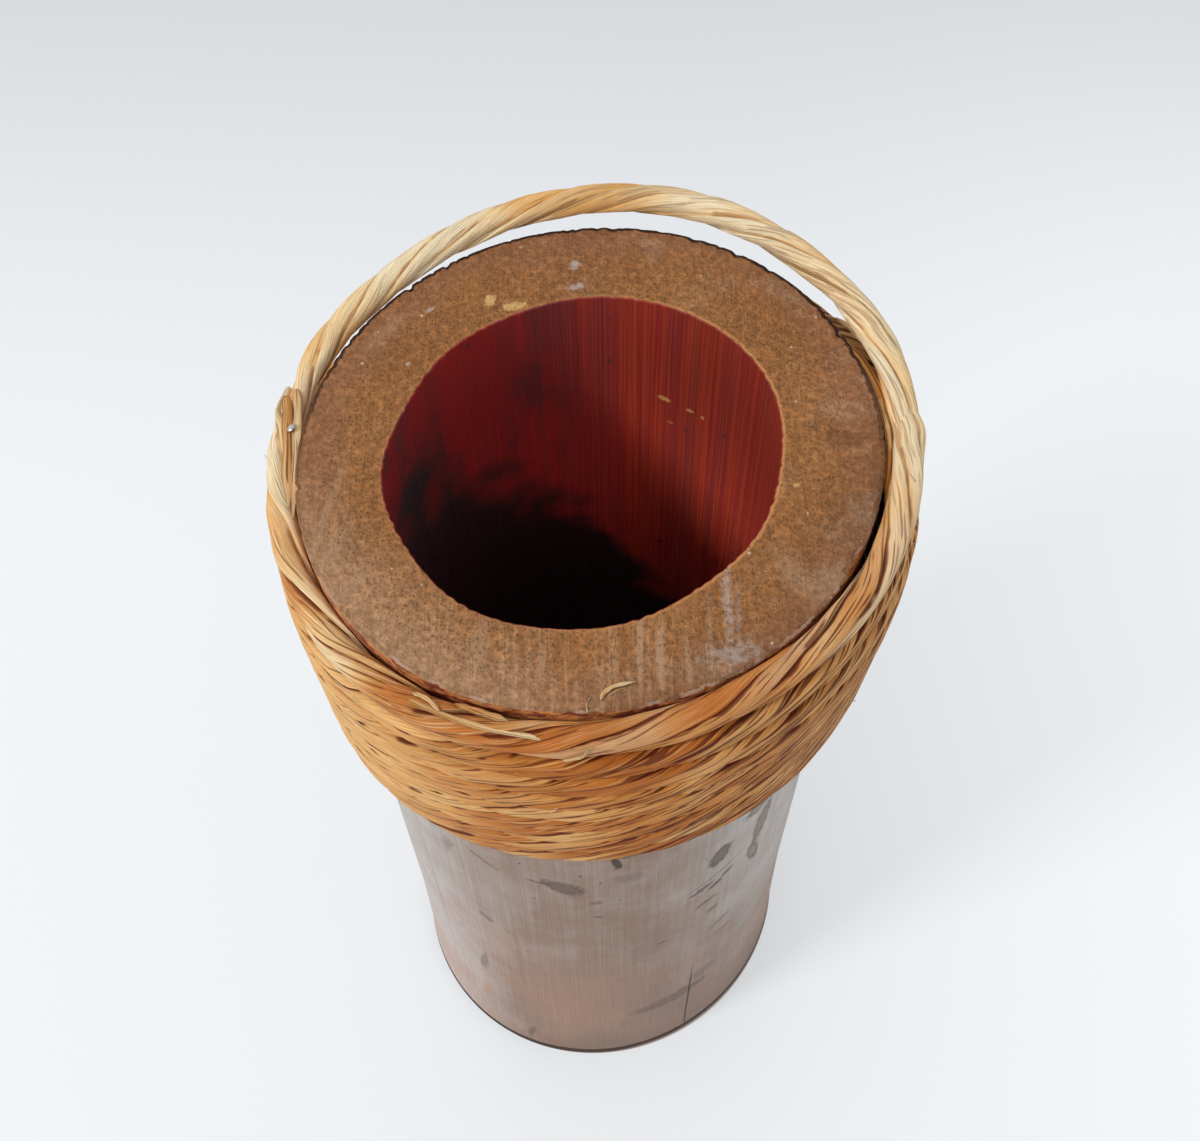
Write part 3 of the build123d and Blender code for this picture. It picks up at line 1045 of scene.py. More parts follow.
@dataclass
class Band:
    """Where the cord lies on the culm, in turns of one pitch, and where it leaves it."""

    culm: Culm
    cord_diameter: float = 6.4 * MM
    seat_gap: float = 0.35 * MM
    turn_gap: float = 0.5 * MM
    drop: float = 4.5 * MM
    rise: float = 3.5 * MM
    high_angle: float = -20.0
    standoff: float = 2.6 * MM
    standoff_shares: tuple = (
        (160.0, 1.0), (170.0, 0.94), (185.0, 0.50), (210.0, 0.12), (240.0, 0.20), (270.0, 0.04),
        (300.0, 0.06), (330.0, 0.54), (350.0, 0.66), (364.0, 0.94), (372.0, 1.0))
    left_root_angle: float = 166.6
    right_root_angle: float = 8.0
    start_turns: float = 0.39
    end_turns: float = 8.25
    bulge: float = 2.0 * MM
    bulge_lean: float = 0.6
    bulge_shares: tuple = ((0.0, 0.6), (1.0, 0.95), (2.0, 1.05), (4.0, 0.82), (6.0, 0.62), (8.0, 0.20))
    hug: float = 0.8 * MM
    dip: float = 0.9 * MM
    hug_shares: tuple = (
        (150.0, 0.0), (168.0, 0.1), (180.0, 0.7), (192.0, 1.0), (218.0, 0.75), (240.0, 0.2), (300.0, 0.1),
        (335.0, 0.8), (350.0, 1.0), (364.0, 1.0), (376.0, 0.6))
    route_shares: tuple = (
        (152.7, 1.054, -0.60), (131.7, 1.020, 0.06), (107.9, 1.029, 0.47), (81.6, 1.060, 0.52),
        (60.1, 1.064, 0.39), (37.4, 1.054, 0.16), (20.0, 1.044, -0.06))

    @property
    def pitch(self) -> float:
        """Return the height of one turn."""
        return self.cord_diameter + self.turn_gap

    def point(self, angle: float, height: float, standoff: float) -> Vector:
        """Return the cord's centre at an angle, in degrees, and a height.

        Args:
            angle: Angle round the culm, in degrees.
            height: Height, in metres.
            standoff: How far the cord stands off its seat.

        Returns:
            The place.
        """
        turn = math.radians(angle)
        reach = float(self.culm.radius(turn, height)) + self.seat_gap + self.cord_diameter / 2 + standoff
        return Vector((reach * math.cos(turn), reach * math.sin(turn), height))

    def lift(self, angle: float) -> float:
        """Return how far the band's tilt lifts it at an angle."""
        return self.rise * math.cos(math.radians(angle - self.high_angle))

    def rim_point(self, angle: float, push: float = 0.0) -> Vector:
        """Return the centre of the top turn at an angle, pushed out by a length.

        Args:
            angle: Angle round the culm, in degrees.
            push: How far it is pushed out.

        Returns:
            The place.
        """
        height = self.culm.height - self.drop + self.lift(angle)
        places, shares = zip(*self.standoff_shares)
        around = angle if angle > 90 else angle + 360
        share = float(np.interp(around, places, shares))
        hug = self.hug * float(np.interp(around, *zip(*self.hug_shares)))
        return self.point(angle, height, self.standoff * share - hug + push)

    @staticmethod
    def turns_down(turn: float) -> float:
        """Return how many pitches the winding has come down at a number of turns.

        Args:
            turn: Turns from +X.

        Returns:
            Pitches.
        """
        whole = math.floor(turn - 0.5)
        past = turn - 0.5 - whole
        step = 0.0 if past < 0.5 else (1 - math.cos(FULL_TURN * (past - 0.5))) / 2
        return whole + step

    def winding_point(self, turn: float) -> Vector:
        """Return the centre of the winding at a number of turns from +X.

        Args:
            turn: Turns from +X.

        Returns:
            The place.
        """
        down = self.turns_down(turn)
        height = self.culm.height - self.drop - self.pitch * (1 + down) + self.lift(360 * turn)
        places, shares = zip(*self.bulge_shares)
        lean = 1 + self.bulge_lean * math.cos(math.radians(360 * turn - self.high_angle))
        hidden = self.hidden(turn)
        push = self.bulge * lean * float(np.interp(down, places, shares)) * (1 - 0.85 * hidden)
        return self.point(360 * turn, height - self.dip * hidden, push)

    def hidden(self, turn: float) -> float:
        """Return 1 where the first turns lie behind the rim, out of the camera's sight, else 0.

        Args:
            turn: Turns from +X.

        Returns:
            A share from 0 to 1.
        """
        angle = 360 * turn % 360
        first = float(smooth_step(turn, 1.5, 1.3))
        return first * float(smooth_step(angle, 26, 36) * smooth_step(angle, 110, 90))

    def route(self) -> list[Vector]:
        """Return the handle's route from its left root to its right root.

        Returns:
            Control points.
        """
        points = [self.rim_point(self.left_root_angle)]
        for angle, reach_share, rise_share in self.route_shares:
            touching = self.point(angle, self.culm.height + self.cord_diameter * rise_share, 0.0)
            points.append(Vector((touching.x * reach_share, touching.y * reach_share, touching.z)))
        points.append(self.rim_point(self.right_root_angle))
        return points


def cord_tree() -> NodeTree:
    """Cord of twisted leaves along a line of points.

    Each column of the mesh follows one line of a leaf, so the leaf edges stay
    crisp. The points carry their own size, depth and height shares.

    Returns:
        A geometry group that ends in a plain mesh with leaf attributes.
    """
    graph, given, result = new_group(
        "leaf_cord", "GeometryNodeTree",
        {"line": "Geometry", "radius": 0.0032, "leaves": 4, "points_per_leaf": 8,
         "ring_spacing": 0.0015, "edge_step": 0.0004, "crown": 0.0003, "uneven": 0.0005,
         "wander": 0.6, "leaf_drift": 0.7, "squareness": 2.0, "start": 0.0, "seed": 0.0,
         "finish": "Material"},
        {"Cord": "Geometry"})
    add, maths, noise = graph.add, graph.maths, graph.noise

    def number(name: str) -> Socket:
        """Return a number that the line's points carry."""
        return add("GeometryNodeInputNamedAttribute", {"Name": name}).outputs["Attribute"]

    curve = add("GeometryNodeMeshToCurve", {"Mesh": given["line"]}).outputs[0]
    rings = add("GeometryNodeResampleCurve", {"Curve": curve, "Length": given["ring_spacing"]}, mode="LENGTH")
    upright = add("GeometryNodeSetCurveNormal", {"Curve": rings.outputs[0]}, mode="Z_UP")
    keep = add("GeometryNodeCaptureAttribute", {"Geometry": upright.outputs[0]}, domain="POINT")
    facts = {
        "centre": ("VECTOR", add("GeometryNodeInputPosition").outputs[0]),
        "tangent": ("VECTOR", add("GeometryNodeInputTangent").outputs[0]),
        "outward": ("VECTOR", add("GeometryNodeInputNormal").outputs["Normal"]),
        "run": ("FLOAT", add("GeometryNodeSplineParameter").outputs["Length"]),
        "size": ("FLOAT", number("size_share")),
        "depth": ("FLOAT", number("depth_share")),
        "height": ("FLOAT", number("height_share")),
        "twist": ("FLOAT", number("twist_turns")),
    }
    for name, (kind, source) in facts.items():
        keep.capture_items.new(kind, name)
        graph.feed(keep.inputs[name], source)
    kept = graph.outputs(keep)
    sides = given["leaves"] * given["points_per_leaf"]
    circle = add("GeometryNodeCurvePrimitiveCircle", {"Resolution": sides, "Radius": given["radius"]})
    turn = add("GeometryNodeCaptureAttribute", {"Geometry": circle.outputs[0]}, domain="POINT")
    turn.capture_items.new("FLOAT", "share")
    graph.feed(turn.inputs["share"], add("GeometryNodeSplineParameter").outputs["Factor"])
    tube = add("GeometryNodeCurveToMesh", {
        "Curve": kept["Geometry"], "Profile Curve": turn.outputs["Geometry"], "Fill Caps": True})
    place = graph.outputs(turn)["share"] * given["leaves"] + 0.001
    leaf = maths("FLOOR", place)
    raw = maths("FRACT", place)
    stretch = given["points_per_leaf"] / (given["points_per_leaf"] - 1.0)
    across = raw * stretch * 0.965
    run = kept["run"] + given["start"]
    seed = given["seed"]
    wave = (noise(graph.xyz(run * 31.0, seed, 4.0), 1.0) - 0.5) * given["wander"]

    def edge_drift(number: Value) -> Value:
        """Return how far the edge of a leaf strays, along the cord."""
        return (noise(graph.xyz(run * 40.0, number * 2.9, seed + 7.0), 1.0, 1.0) - 0.5) * given["leaf_drift"]

    following = maths("MODULO", leaf + 1.0, given["leaves"])
    drift = edge_drift(leaf) * (1.0 - across) + edge_drift(following) * across
    spot = (leaf + across + drift) / given["leaves"]
    angle = (spot - kept["twist"]) * FULL_TURN + wave
    cosine, sine = maths("COSINE", angle), maths("SINE", angle)
    power = given["squareness"]
    both = maths("POWER", maths("ABSOLUTE", cosine), power) + maths("POWER", maths("ABSOLUTE", sine), power)
    square = maths("POWER", both, -1.0 / power)
    own = noise(graph.xyz(run * 55.0, leaf * 4.1, seed + 15.0), 1.0)
    bold = noise(graph.xyz(run * 70.0, leaf * 3.3, seed + 25.0), 1.0, 1.0)
    step = given["edge_step"] * graph.ease(bold, 0.3, 0.6, 0.25, 1.5)
    middle = across * 2.0 - 1.0
    crown = (0.5 - middle * middle) * given["crown"]
    relief = (own - 0.5) * given["uneven"] + ((across - 0.62) * step + crown)
    radius = (square * given["radius"] + relief) * kept["size"]
    sideways = graph.vector("CROSS_PRODUCT", kept["tangent"], kept["outward"])
    out = graph.scaled(kept["outward"], radius * cosine * kept["depth"])
    down = graph.scaled(sideways, radius * sine * kept["height"])
    moved = graph.moved(kept["centre"], graph.moved(out, down))
    shaped = add("GeometryNodeSetPosition", {"Geometry": tube.outputs[0], "Position": moved}).outputs[0]
    for name, value in (("leaf_across", across), ("leaf_along", run), ("leaf_number", leaf + seed)):
        shaped = add("GeometryNodeStoreNamedAttribute", {"Geometry": shaped, "Name": name, "Value": value},
                     data_type="FLOAT", domain="POINT").outputs[0]
    soft = add("GeometryNodeSetShadeSmooth", {"Geometry": shaped}).outputs[0]
    return graph.finished(soft, given["finish"], result.inputs["Cord"])


@dataclass
class LeafCord:
    """One stretch of twisted leaf cord, grown along its line by geometry nodes.

    The fields that the nodes need have the names of their inputs.
    """

    name: str
    radius: float
    squareness: float = 2.0
    ring_spacing: float = 1.2 * MM
    lay_length: float = 36 * MM
    leaves: int = 4
    points_per_leaf: int = 9
    edge_step: float = 0.62 * MM
    crown: float = 0.35 * MM
    uneven: float = 0.7 * MM
    wander: float = 0.8
    leaf_drift: float = 1.05
    start: float = 0.0
    start_turns: float = 0.0
    seed: float = 0.0

    def twist(self, line: list[Vector], lay_shares: list[float]) -> np.ndarray:
        """Return how many turns the leaves have made at each point of a line.

        Args:
            line: Centre line, in metres.
            lay_shares: Length of one turn at each point, in lay lengths.

        Returns:
            Turns, one for each point.
        """
        turns, result = self.start_turns, []
        for number, place in enumerate(line):
            if number:
                turns += (place - line[number - 1]).length / (self.lay_length * lay_shares[number])
            result.append(turns)
        return np.array(result)

    def grow(self, tree: NodeTree, line: list[Vector], shares: dict[str, list[float]],
             finish: Material) -> Object:
        """Grow the cord and turn it into a plain mesh.

        Args:
            tree: The cord's geometry nodes.
            line: Centre line, in metres.
            shares: Size, depth, height and lay shares, one for each point.
            finish: Material of the leaves.

        Returns:
            The finished piece.
        """
        mesh = bpy.data.meshes.new(self.name + "_line")
        mesh.from_pydata([tuple(point) for point in line], [(n, n + 1) for n in range(len(line) - 1)], [])
        for name in ("size_share", "depth_share", "height_share"):
            set_values(mesh, name, np.array(shares.get(name, [1.0] * len(line))))
        set_values(mesh, "twist_turns", self.twist(line, shares.get("lay_share", [1.0] * len(line))))
        guide = new_object(self.name + "_line", mesh)
        set_modifier(guide, tree, {**asdict(self), "finish": finish})
        return plain_mesh(guide, self.name)


def set_modifier(guide: Object, tree: NodeTree, values: dict[str, object]) -> None:
    """Put a geometry group on an object and set its named inputs.

    Args:
        guide: Object that gets the modifier.
        tree: The geometry group.
        values: Input name to value; names that the group doesn't have are left out.
    """
    modifier = guide.modifiers.new(tree.name, "NODES")
    modifier.node_group = tree
    for item in tree.interface.items_tree:
        if item.in_out == "INPUT" and item.name in values:
            modifier[item.identifier] = values[item.name]


def plain_mesh(guide: Object, name: str) -> Object:
    """Turn what a guide's modifier makes into a plain mesh piece, and drop the guide.

    Args:
        guide: Object with a live modifier.
        name: Name of the finished piece.

    Returns:
        The finished piece.
    """
    bpy.context.view_layer.update()
    evaluated = guide.evaluated_get(bpy.context.evaluated_depsgraph_get())
    mesh = bpy.data.meshes.new_from_object(evaluated)
    mesh.name = name
    piece = new_object(name, mesh)
    guide.modifiers.clear()
    bpy.data.objects.remove(guide)
    return piece


def length_of(line: list[Vector]) -> float:
    """Return the length of a line of points."""
    return sum((after - before).length for before, after in zip(line, line[1:]))


def spline_points(route: list[Vector]) -> list[Vector]:
    """Read points from the smooth spline that a cord's route controls.

    Args:
        route: Control points.

    Returns:
        Points along the spline, close together.
    """
    curve = bpy.data.curves.new("handle_route", "CURVE")
    curve.dimensions = "3D"
    curve.resolution_u = 24
    spline = curve.splines.new("NURBS")
    spline.points.add(len(route) - 1)
    for point, place in zip(spline.points, route):
        point.co = (*place, 1.0)
    spline.order_u = 3
    spline.use_endpoint_u = True
    holder = new_object("handle_route", curve)
    bpy.context.view_layer.update()
    mesh = bpy.data.meshes.new_from_object(holder)
    points = [vertex.co.copy() for vertex in mesh.vertices]
    bpy.data.objects.remove(holder)
    return points


@dataclass
class CordWork:
    """The whole of the cord: winding, top half turn and handle."""

    band: Band
    tree: NodeTree
    flap_end: float = 162.4
    flap_push: float = 2.7 * MM
    flap_depth_share: float = 0.30
    root_depth_share: float = 0.72
    tuck: float = 8.0
    end_taper: float = 0.22
    rim_lays: tuple = ((160.0, 2.0), (205.0, 2.0), (235.0, 2.1), (300.0, 2.1), (330.0, 2.5), (368.0, 2.5))
    band_lay: float = 1.65
    handle_lays: tuple = ((0.0, 2.5), (20.0, 2.5), (50.0, 1.8), (90.0, 1.7))
    handle_radius: float = 2.87 * MM
    kink_angle: float = 362.0
    kink_push: float = 0.5 * MM
    bend_before: float = 2.5 * MM
    bend_after: float = 6.5 * MM

    def winding(self, finish: Material) -> Object:
        """Build the winding under the top half turn.

        Args:
            finish: Material of the leaves.

        Returns:
            The piece.
        """
        band = self.band
        count = round((band.end_turns - band.start_turns) * 90)
        turns = np.linspace(band.start_turns, band.end_turns, count)
        line = [band.winding_point(turn) for turn in turns]
        cord = LeafCord("band_winding", band.cord_diameter / 2, squareness=7.0, ring_spacing=1.8 * MM,
                        edge_step=0.34 * MM, crown=0.20 * MM, uneven=0.45 * MM, seed=40.0, points_per_leaf=9)
        near_end = np.minimum(turns - band.start_turns, band.end_turns - turns)
        shares = {"size_share": list(0.45 + 0.55 * smooth_step(near_end, 0.0, 0.025)),
                  "height_share": [1.11 - 0.25 * band.hidden(turn) for turn in turns],
                  "depth_share": [0.90] * count,
                  "lay_share": [self.band_lay] * count}
        return cord.grow(self.tree, line, shares, finish)

    def rim_turn(self, finish: Material) -> tuple[Object, float, float]:
        """Build the top half turn, with its cut end outside the handle's left root.

        Args:
            finish: Material of the leaves.

        Returns:
            The piece, the length of its line, and how many turns its leaves have made at the end.
        """
        band = self.band
        angles = np.linspace(self.flap_end, 360 + band.right_root_angle, 150)
        end = 360 + band.right_root_angle
        line, size, depth, height, lay = [], [], [], [], []
        for angle in angles:
            flap = 1 - smooth_step(angle, band.left_root_angle + 0.5, band.left_root_angle + 5)
            kink = math.exp(-((angle - self.kink_angle) / 2.5) ** 2)
            line.append(band.rim_point(angle, self.flap_push * flap + self.kink_push * kink))
            size.append(1 - self.end_taper * smooth_step(angle, end - self.tuck * 0.8, end))
            depth.append(1 - (1 - self.flap_depth_share) * flap)
            height.append(1 - 0.12 * flap)
            places, lays = zip(*self.rim_lays)
            lay.append(float(np.interp(angle, places, lays)))
        cord = LeafCord("rim_turn_cord", band.cord_diameter / 2 - 0.05 * MM, squareness=2.5,
                        ring_spacing=1.0 * MM, seed=0.0)
        shares = {"size_share": size, "depth_share": depth, "height_share": height, "lay_share": lay}
        piece = cord.grow(self.tree, line, shares, finish)
        return piece, length_of(line), float(cord.twist(line, lay)[-1])

    def handle_line(self) -> list[Vector]:
        """Return the handle's centre line, from inside the right end of the top turn to the left.

        Returns:
            Points, close together.
        """
        band = self.band
        inside_right = band.rim_point(band.right_root_angle - self.tuck)
        inside_left = band.rim_point(band.left_root_angle + self.tuck)
        return spline_points([inside_right, *reversed(band.route()), inside_left])

    def handle(self, finish: Material, rim_length: float, rim_turns: float) -> tuple[Object, list[Vector]]:
        """Build the handle, its two ends tucked into the top half turn.

        Args:
            finish: Material of the leaves.
            rim_length: Length of the top half turn, for the leaves to run on.
            rim_turns: Turns that its leaves have made at its end.

        Returns:
            The piece and the line that it follows.
        """
        line = self.handle_line()
        overlap = (self.band.rim_point(self.band.right_root_angle) - line[0]).length
        runs = np.cumsum([0.0] + [(after - before).length for before, after in zip(line, line[1:])])
        total = runs[-1]
        size, depth = [], []
        for run in runs:
            near_end = min(run, total - run)
            bent = math.exp(-((run - 24 * MM) / (9 * MM)) ** 2)
            size.append(float(0.88 + 0.15 * smooth_step(near_end, 2 * MM, overlap) + 0.08 * bent))
            left = smooth_step(total - run, 26 * MM, 12 * MM)
            depth.append(float(1 - (1 - self.root_depth_share) * left))
        cord = LeafCord("handle_loop", self.handle_radius, ring_spacing=0.9 * MM, squareness=2.3,
                        start=rim_length - overlap, seed=0.0)
        places, lays = zip(*self.handle_lays)
        cord.start_turns = rim_turns - overlap / (cord.lay_length * lays[0])
        lay = list(np.interp(runs / MM, places, lays))
        shares = {"size_share": size, "depth_share": depth, "lay_share": lay}
        return cord.grow(self.tree, line, shares, finish), line


@dataclass(frozen=True)
class Strip:
    """A torn bit of leaf, along a few listed places."""

    places: tuple[tuple[float, float, float], ...]
    width: float
    lean: float = 0.0
    ends: tuple[float, float] = (0.35, 0.15)
    thickness: float = 0.35
    steps: int = 22

    def line(self) -> list[Vector]:
        """Return a smooth line through the places, in metres.

        Returns:
            Its points.
        """
        corners = [Vector(place) * MM for place in self.places]
        corners = [corners[0] * 2 - corners[1], *corners, corners[-1] * 2 - corners[-2]]
        spans = len(corners) - 3
        points = []
        for step in range(self.steps + 1):
            share = step / self.steps * spans
            span = min(int(share), spans - 1)
            part = share - span
            a, b, c, d = corners[span:span + 4]
            bend, swing = a * 2 - b * 5 + c * 4 - d, b * 3 - a - c * 3 + d
            points.append(0.5 * (b * 2 + (c - a) * part + bend * part * part + swing * part * part * part))
        return points

    def sections(self) -> list[list[Vector]]:
        """Return the closed section of the strip at each step.

        Returns:
            Corner points of each section.
        """
        line, result = self.line(), []
        for step, place in enumerate(line):
            tangent = (line[min(step + 1, self.steps)] - line[max(step - 1, 0)]).normalized()
            side = tangent.cross(Vector((0, 0, 1))).normalized()
            face = side.cross(tangent).normalized()
            lean = math.radians(self.lean)
            side, face = (side * math.cos(lean) + face * math.sin(lean),
                          face * math.cos(lean) - side * math.sin(lean))
            share = step / self.steps
            body = min(1.0, self.ends[0] + 4 * share, self.ends[1] + 4 * (1 - share))
            half = self.width * MM / 2 * body * (1 + 0.12 * math.sin(share * 17))
            thick = self.thickness * MM * (0.6 + 0.4 * body)
            shape = ((-1, 0), (-0.5, 0.45), (0.5, 0.45), (1, 0), (0.5, -0.35), (-0.5, -0.35))
            result.append([place + side * half * across + face * thick * up for across, up in shape])
        return result


@dataclass
class LooseLeaves:
    """Torn leaves and slivers that lie loose on the cord and the rim."""

    strips: tuple[Strip, ...] = (
        Strip(((-36.5, -54.0, 267.6), (-31.0, -57.6, 268.5), (-25.0, -60.4, 268.9), (-18.0, -62.6, 269.0),
               (-10.0, -64.2, 269.0), (-3.0, -65.0, 268.4)), 1.5, 14, (0.3, 0.1)),
        Strip(((-26.0, -56.9, 268.6), (-21.0, -58.9, 269.0), (-16.0, -60.6, 268.9)), 1.6, 8, (0.3, 0.2)),
        Strip(((-34.0, -54.2, 268.2), (-31.2, -56.0, 269.2), (-28.6, -58.6, 268.8)), 1.1, -10, (0.4, 0.2)),
        Strip(((-64.4, 17.6, 265.0), (-63.5, 12.2, 266.8), (-62.7, 6.6, 267.8), (-61.9, -2.6, 267.8),
               (-61.2, -11.4, 266.8)), 2.7, 26, (0.55, 0.25), 0.5),
        Strip(((-62.3, 18.6, 266.2), (-61.3, 12.0, 267.3), (-60.8, 5.0, 267.7), (-60.4, -4.0, 267.4),
               (-60.2, -14.0, 266.4)), 2.0, 10, (0.5, 0.2), 0.45),
        Strip(((-6.0, -67.0, 264.6), (-3.9, -67.4, 266.4), (-2.2, -67.3, 267.6), (-0.9, -66.3, 269.4)),
              0.9, -70, (0.6, 0.1), 0.25),
        Strip(((1.0, -57.4, 270.15), (1.7, -56.1, 270.6), (3.6, -54.9, 270.9), (7.6, -53.8, 270.4)),
              1.15, 20, (0.15, 0.2), 0.2),
        Strip(((2.0, -56.9, 270.12), (4.2, -55.4, 270.3), (6.4, -54.9, 270.2)), 0.35, 0, (0.2, 0.1), 0.18),
        Strip(((-1.4, -60.0, 270.1), (-1.5, -58.0, 270.25), (-0.5, -56.4, 270.15)), 0.3, 0, (0.3, 0.1), 0.18),
        Strip(((54.2, 37.4, 264.0), (57.9, 32.2, 265.4), (60.6, 26.6, 266.2), (62.3, 21.0, 265.4)),
              2.4, 14, (0.3, 0.3)),
        Strip(((53.9, 31.6, 265.4), (58.0, 22.8, 267.4), (60.9, 12.4, 268.2), (61.5, 2.0, 268.3),
               (60.6, -8.0, 267.0), (59.2, -13.0, 265.6)), 3.0, 24, (0.3, 0.2), 0.4, 34),
        Strip(((59.6, 15.4, 268.2), (60.9, 8.0, 268.9), (61.2, 2.2, 268.8), (60.8, -3.0, 268.0)),
              1.1, 10, (0.3, 0.2), 0.3),
        Strip(((10.6, -63.3, 213.5), (13.2, -63.9, 212.9), (16.4, -63.6, 213.4)), 0.8, -80, (0.4, 0.1), 0.3),
        Strip(((-22.6, -60.0, 210.4), (-20.6, -61.2, 209.4), (-19.5, -62.1, 208.2)),
              0.7, -80, (0.4, 0.1), 0.3),
    )

    def build(self, finish: Material) -> Object:
        """Build all the strips as one piece.

        Args:
            finish: Material of the leaves.

        Returns:
            The piece.
        """
        points, faces, across, along, leaf = [], [], [], [], []
        for number, strip in enumerate(self.strips):
            first = len(points)
            sections = strip.sections()
            sides = len(sections[0])
            for step, section in enumerate(sections):
                points += section
                across += [0.25, 0.4, 0.6, 0.8, 0.6, 0.4]
                along += [0.031 * number + step * 0.9 * MM] * sides
                leaf += [number % 4] * sides
            for step in range(len(sections) - 1):
                start = first + step * sides
                for side in range(sides):
                    beside = (side + 1) % sides
                    faces.append((start + side, start + beside, start + sides + beside, start + sides + side))
            faces.append(tuple(first + side for side in reversed(range(sides))))
            faces.append(tuple(len(points) - sides + side for side in range(sides)))
        piece = mesh_object("loose_leaves", np.array(points), faces, finish)
        for name, values in (("leaf_across", across), ("leaf_along", along), ("leaf_number", leaf)):
            set_values(piece.data, name, np.array(values))
        outward_faces(piece.data)
        piece.data.shade_smooth()
        return piece


def outward_faces(mesh: Mesh) -> None:
    """Turn a closed mesh's faces outwards.

    Args:
        mesh: The mesh.
    """
    work = bmesh.new()
    work.from_mesh(mesh)
    bmesh.ops.recalc_face_normals(work, faces=work.faces)
    work.to_mesh(mesh)
    work.free()


def fibre_tree() -> NodeTree:
    """Short stray fibres scattered over a cord, leaning off its surface.

    Returns:
        A geometry group from a cord's mesh to its fibres alone.
    """
    graph, given, result = new_group(
        "stray_fibres", "GeometryNodeTree",
        {"Cord": "Geometry", "Per square metre": 9000.0, "Length": 0.004,
         "Thickness": 0.00012, "Seed": 3, "Finish": "Material"},
        {"Fibres": "Geometry"})
    add = graph.add
    spots = add("GeometryNodeDistributePointsOnFaces", {
        "Mesh": given["Cord"], "Density": given["Per square metre"], "Seed": given["Seed"]})
    length = given["Length"]
    bow = add("GeometryNodeCurveQuadraticBezier", {
        "Resolution": 4, "Start": (0.0, 0.0, 0.0), "Middle": graph.xyz(length * 0.5, 0.0, length * 0.03),
        "End": graph.xyz(length, 0.0, length * 0.22)})
    thread = add("GeometryNodeCurvePrimitiveCircle", {"Resolution": 3, "Radius": given["Thickness"]})
    fibre = add("GeometryNodeCurveToMesh", {
        "Curve": bow.outputs[0], "Profile Curve": thread.outputs[0], "Fill Caps": True})
    seed = given["Seed"]
    lean = graph.chance((0.0, -0.35, 0.0), (0.0, 0.05, FULL_TURN), seed + 5)
    turn = add("FunctionNodeEulerToRotation", {"Euler": lean})
    spin = add("FunctionNodeRotateRotation", {
        "Rotation": spots.outputs["Rotation"], "Rotate By": turn.outputs[0]}, rotation_space="LOCAL")
    scatter = add("GeometryNodeInstanceOnPoints", {
        "Points": spots.outputs["Points"], "Instance": fibre.outputs[0], "Rotation": spin.outputs[0],
        "Scale": graph.chance((0.3, 0.7, 0.7), (1.25, 1.3, 1.3), seed + 9)})
    return graph.finished(scatter.outputs[0], given["Finish"], result.inputs["Fibres"])


@dataclass(frozen=True)
class StrayFibres:
    """Fine fibres that stand off one cord."""

    name: str
    density: float
    length: float = 2.4 * MM
    thickness: float = 0.08 * MM
    seed: int = 3

    def grow(self, tree: NodeTree, cord: Object, finish: Material) -> Object:
        """Grow fibres over a finished cord.

        Args:
            tree: The fibres' geometry nodes.
            cord: The cord that they stand on.
            finish: Material of the fibres.

        Returns:
            The finished piece.
        """
        guide = new_object(self.name + "_guide", cord.data.copy())
        set_modifier(guide, tree, {"Per square metre": self.density, "Length": self.length,
                                   "Thickness": self.thickness, "Seed": self.seed, "Finish": finish})
        return plain_mesh(guide, self.name)


@dataclass(frozen=True)
class ThreadFinish(Finish):
    """Pale stray fibre."""

    pale: Colour = (0.78, 0.55, 0.30)
    brown: Colour = (0.42, 0.20, 0.08)

    def material(self) -> Material:
        """Build the material.

        Returns:
            The material.
        """
        material, graph, shader = self.begin()
        position = graph.position()
        tone = graph.ease(graph.noise(position, 160.0, 2.0), 0.40, 0.62)
        graph.feed(shader.inputs["Base Color"], graph.mix(tone, self.pale, self.brown))
        return material


def crumb_tree() -> NodeTree:
    """Small crumbs of torn wood, in clumps over a narrow ring of faces.

    Returns:
        A geometry group from a ring's mesh to its crumbs alone.
    """
    graph, given, result = new_group(
        "torn_crumbs", "GeometryNodeTree",
        {"Ring": "Geometry", "Per square metre": 700000.0, "Size": 0.0002,
         "Clump": 150.0, "Seed": 5, "Finish": "Material"},
        {"Crumbs": "Geometry"})
    add = graph.add
    place = add("GeometryNodeInputPosition").outputs[0]
    clump = graph.ease(graph.noise(graph.scaled(place, given["Clump"]), 1.0, 3.0, 0.6), 0.48, 0.62)
    seed = given["Seed"]
    spots = add("GeometryNodeDistributePointsOnFaces", {
        "Mesh": given["Ring"], "Seed": seed, "Density": clump * given["Per square metre"]})
    crumb = add("GeometryNodeMeshIcoSphere", {"Radius": given["Size"], "Subdivisions": 1})
    lean = graph.chance((0.0, 0.0, 0.0), (0.6, 0.6, FULL_TURN), seed + 3)
    scatter = add("GeometryNodeInstanceOnPoints", {
        "Points": spots.outputs["Points"], "Instance": crumb.outputs[0],
        "Scale": graph.chance((0.4, 0.4, 0.3), (2.6, 1.5, 1.1), seed),
        "Rotation": add("FunctionNodeEulerToRotation", {"Euler": lean}).outputs[0]})
    return graph.finished(scatter.outputs[0], given["Finish"], result.inputs["Crumbs"])


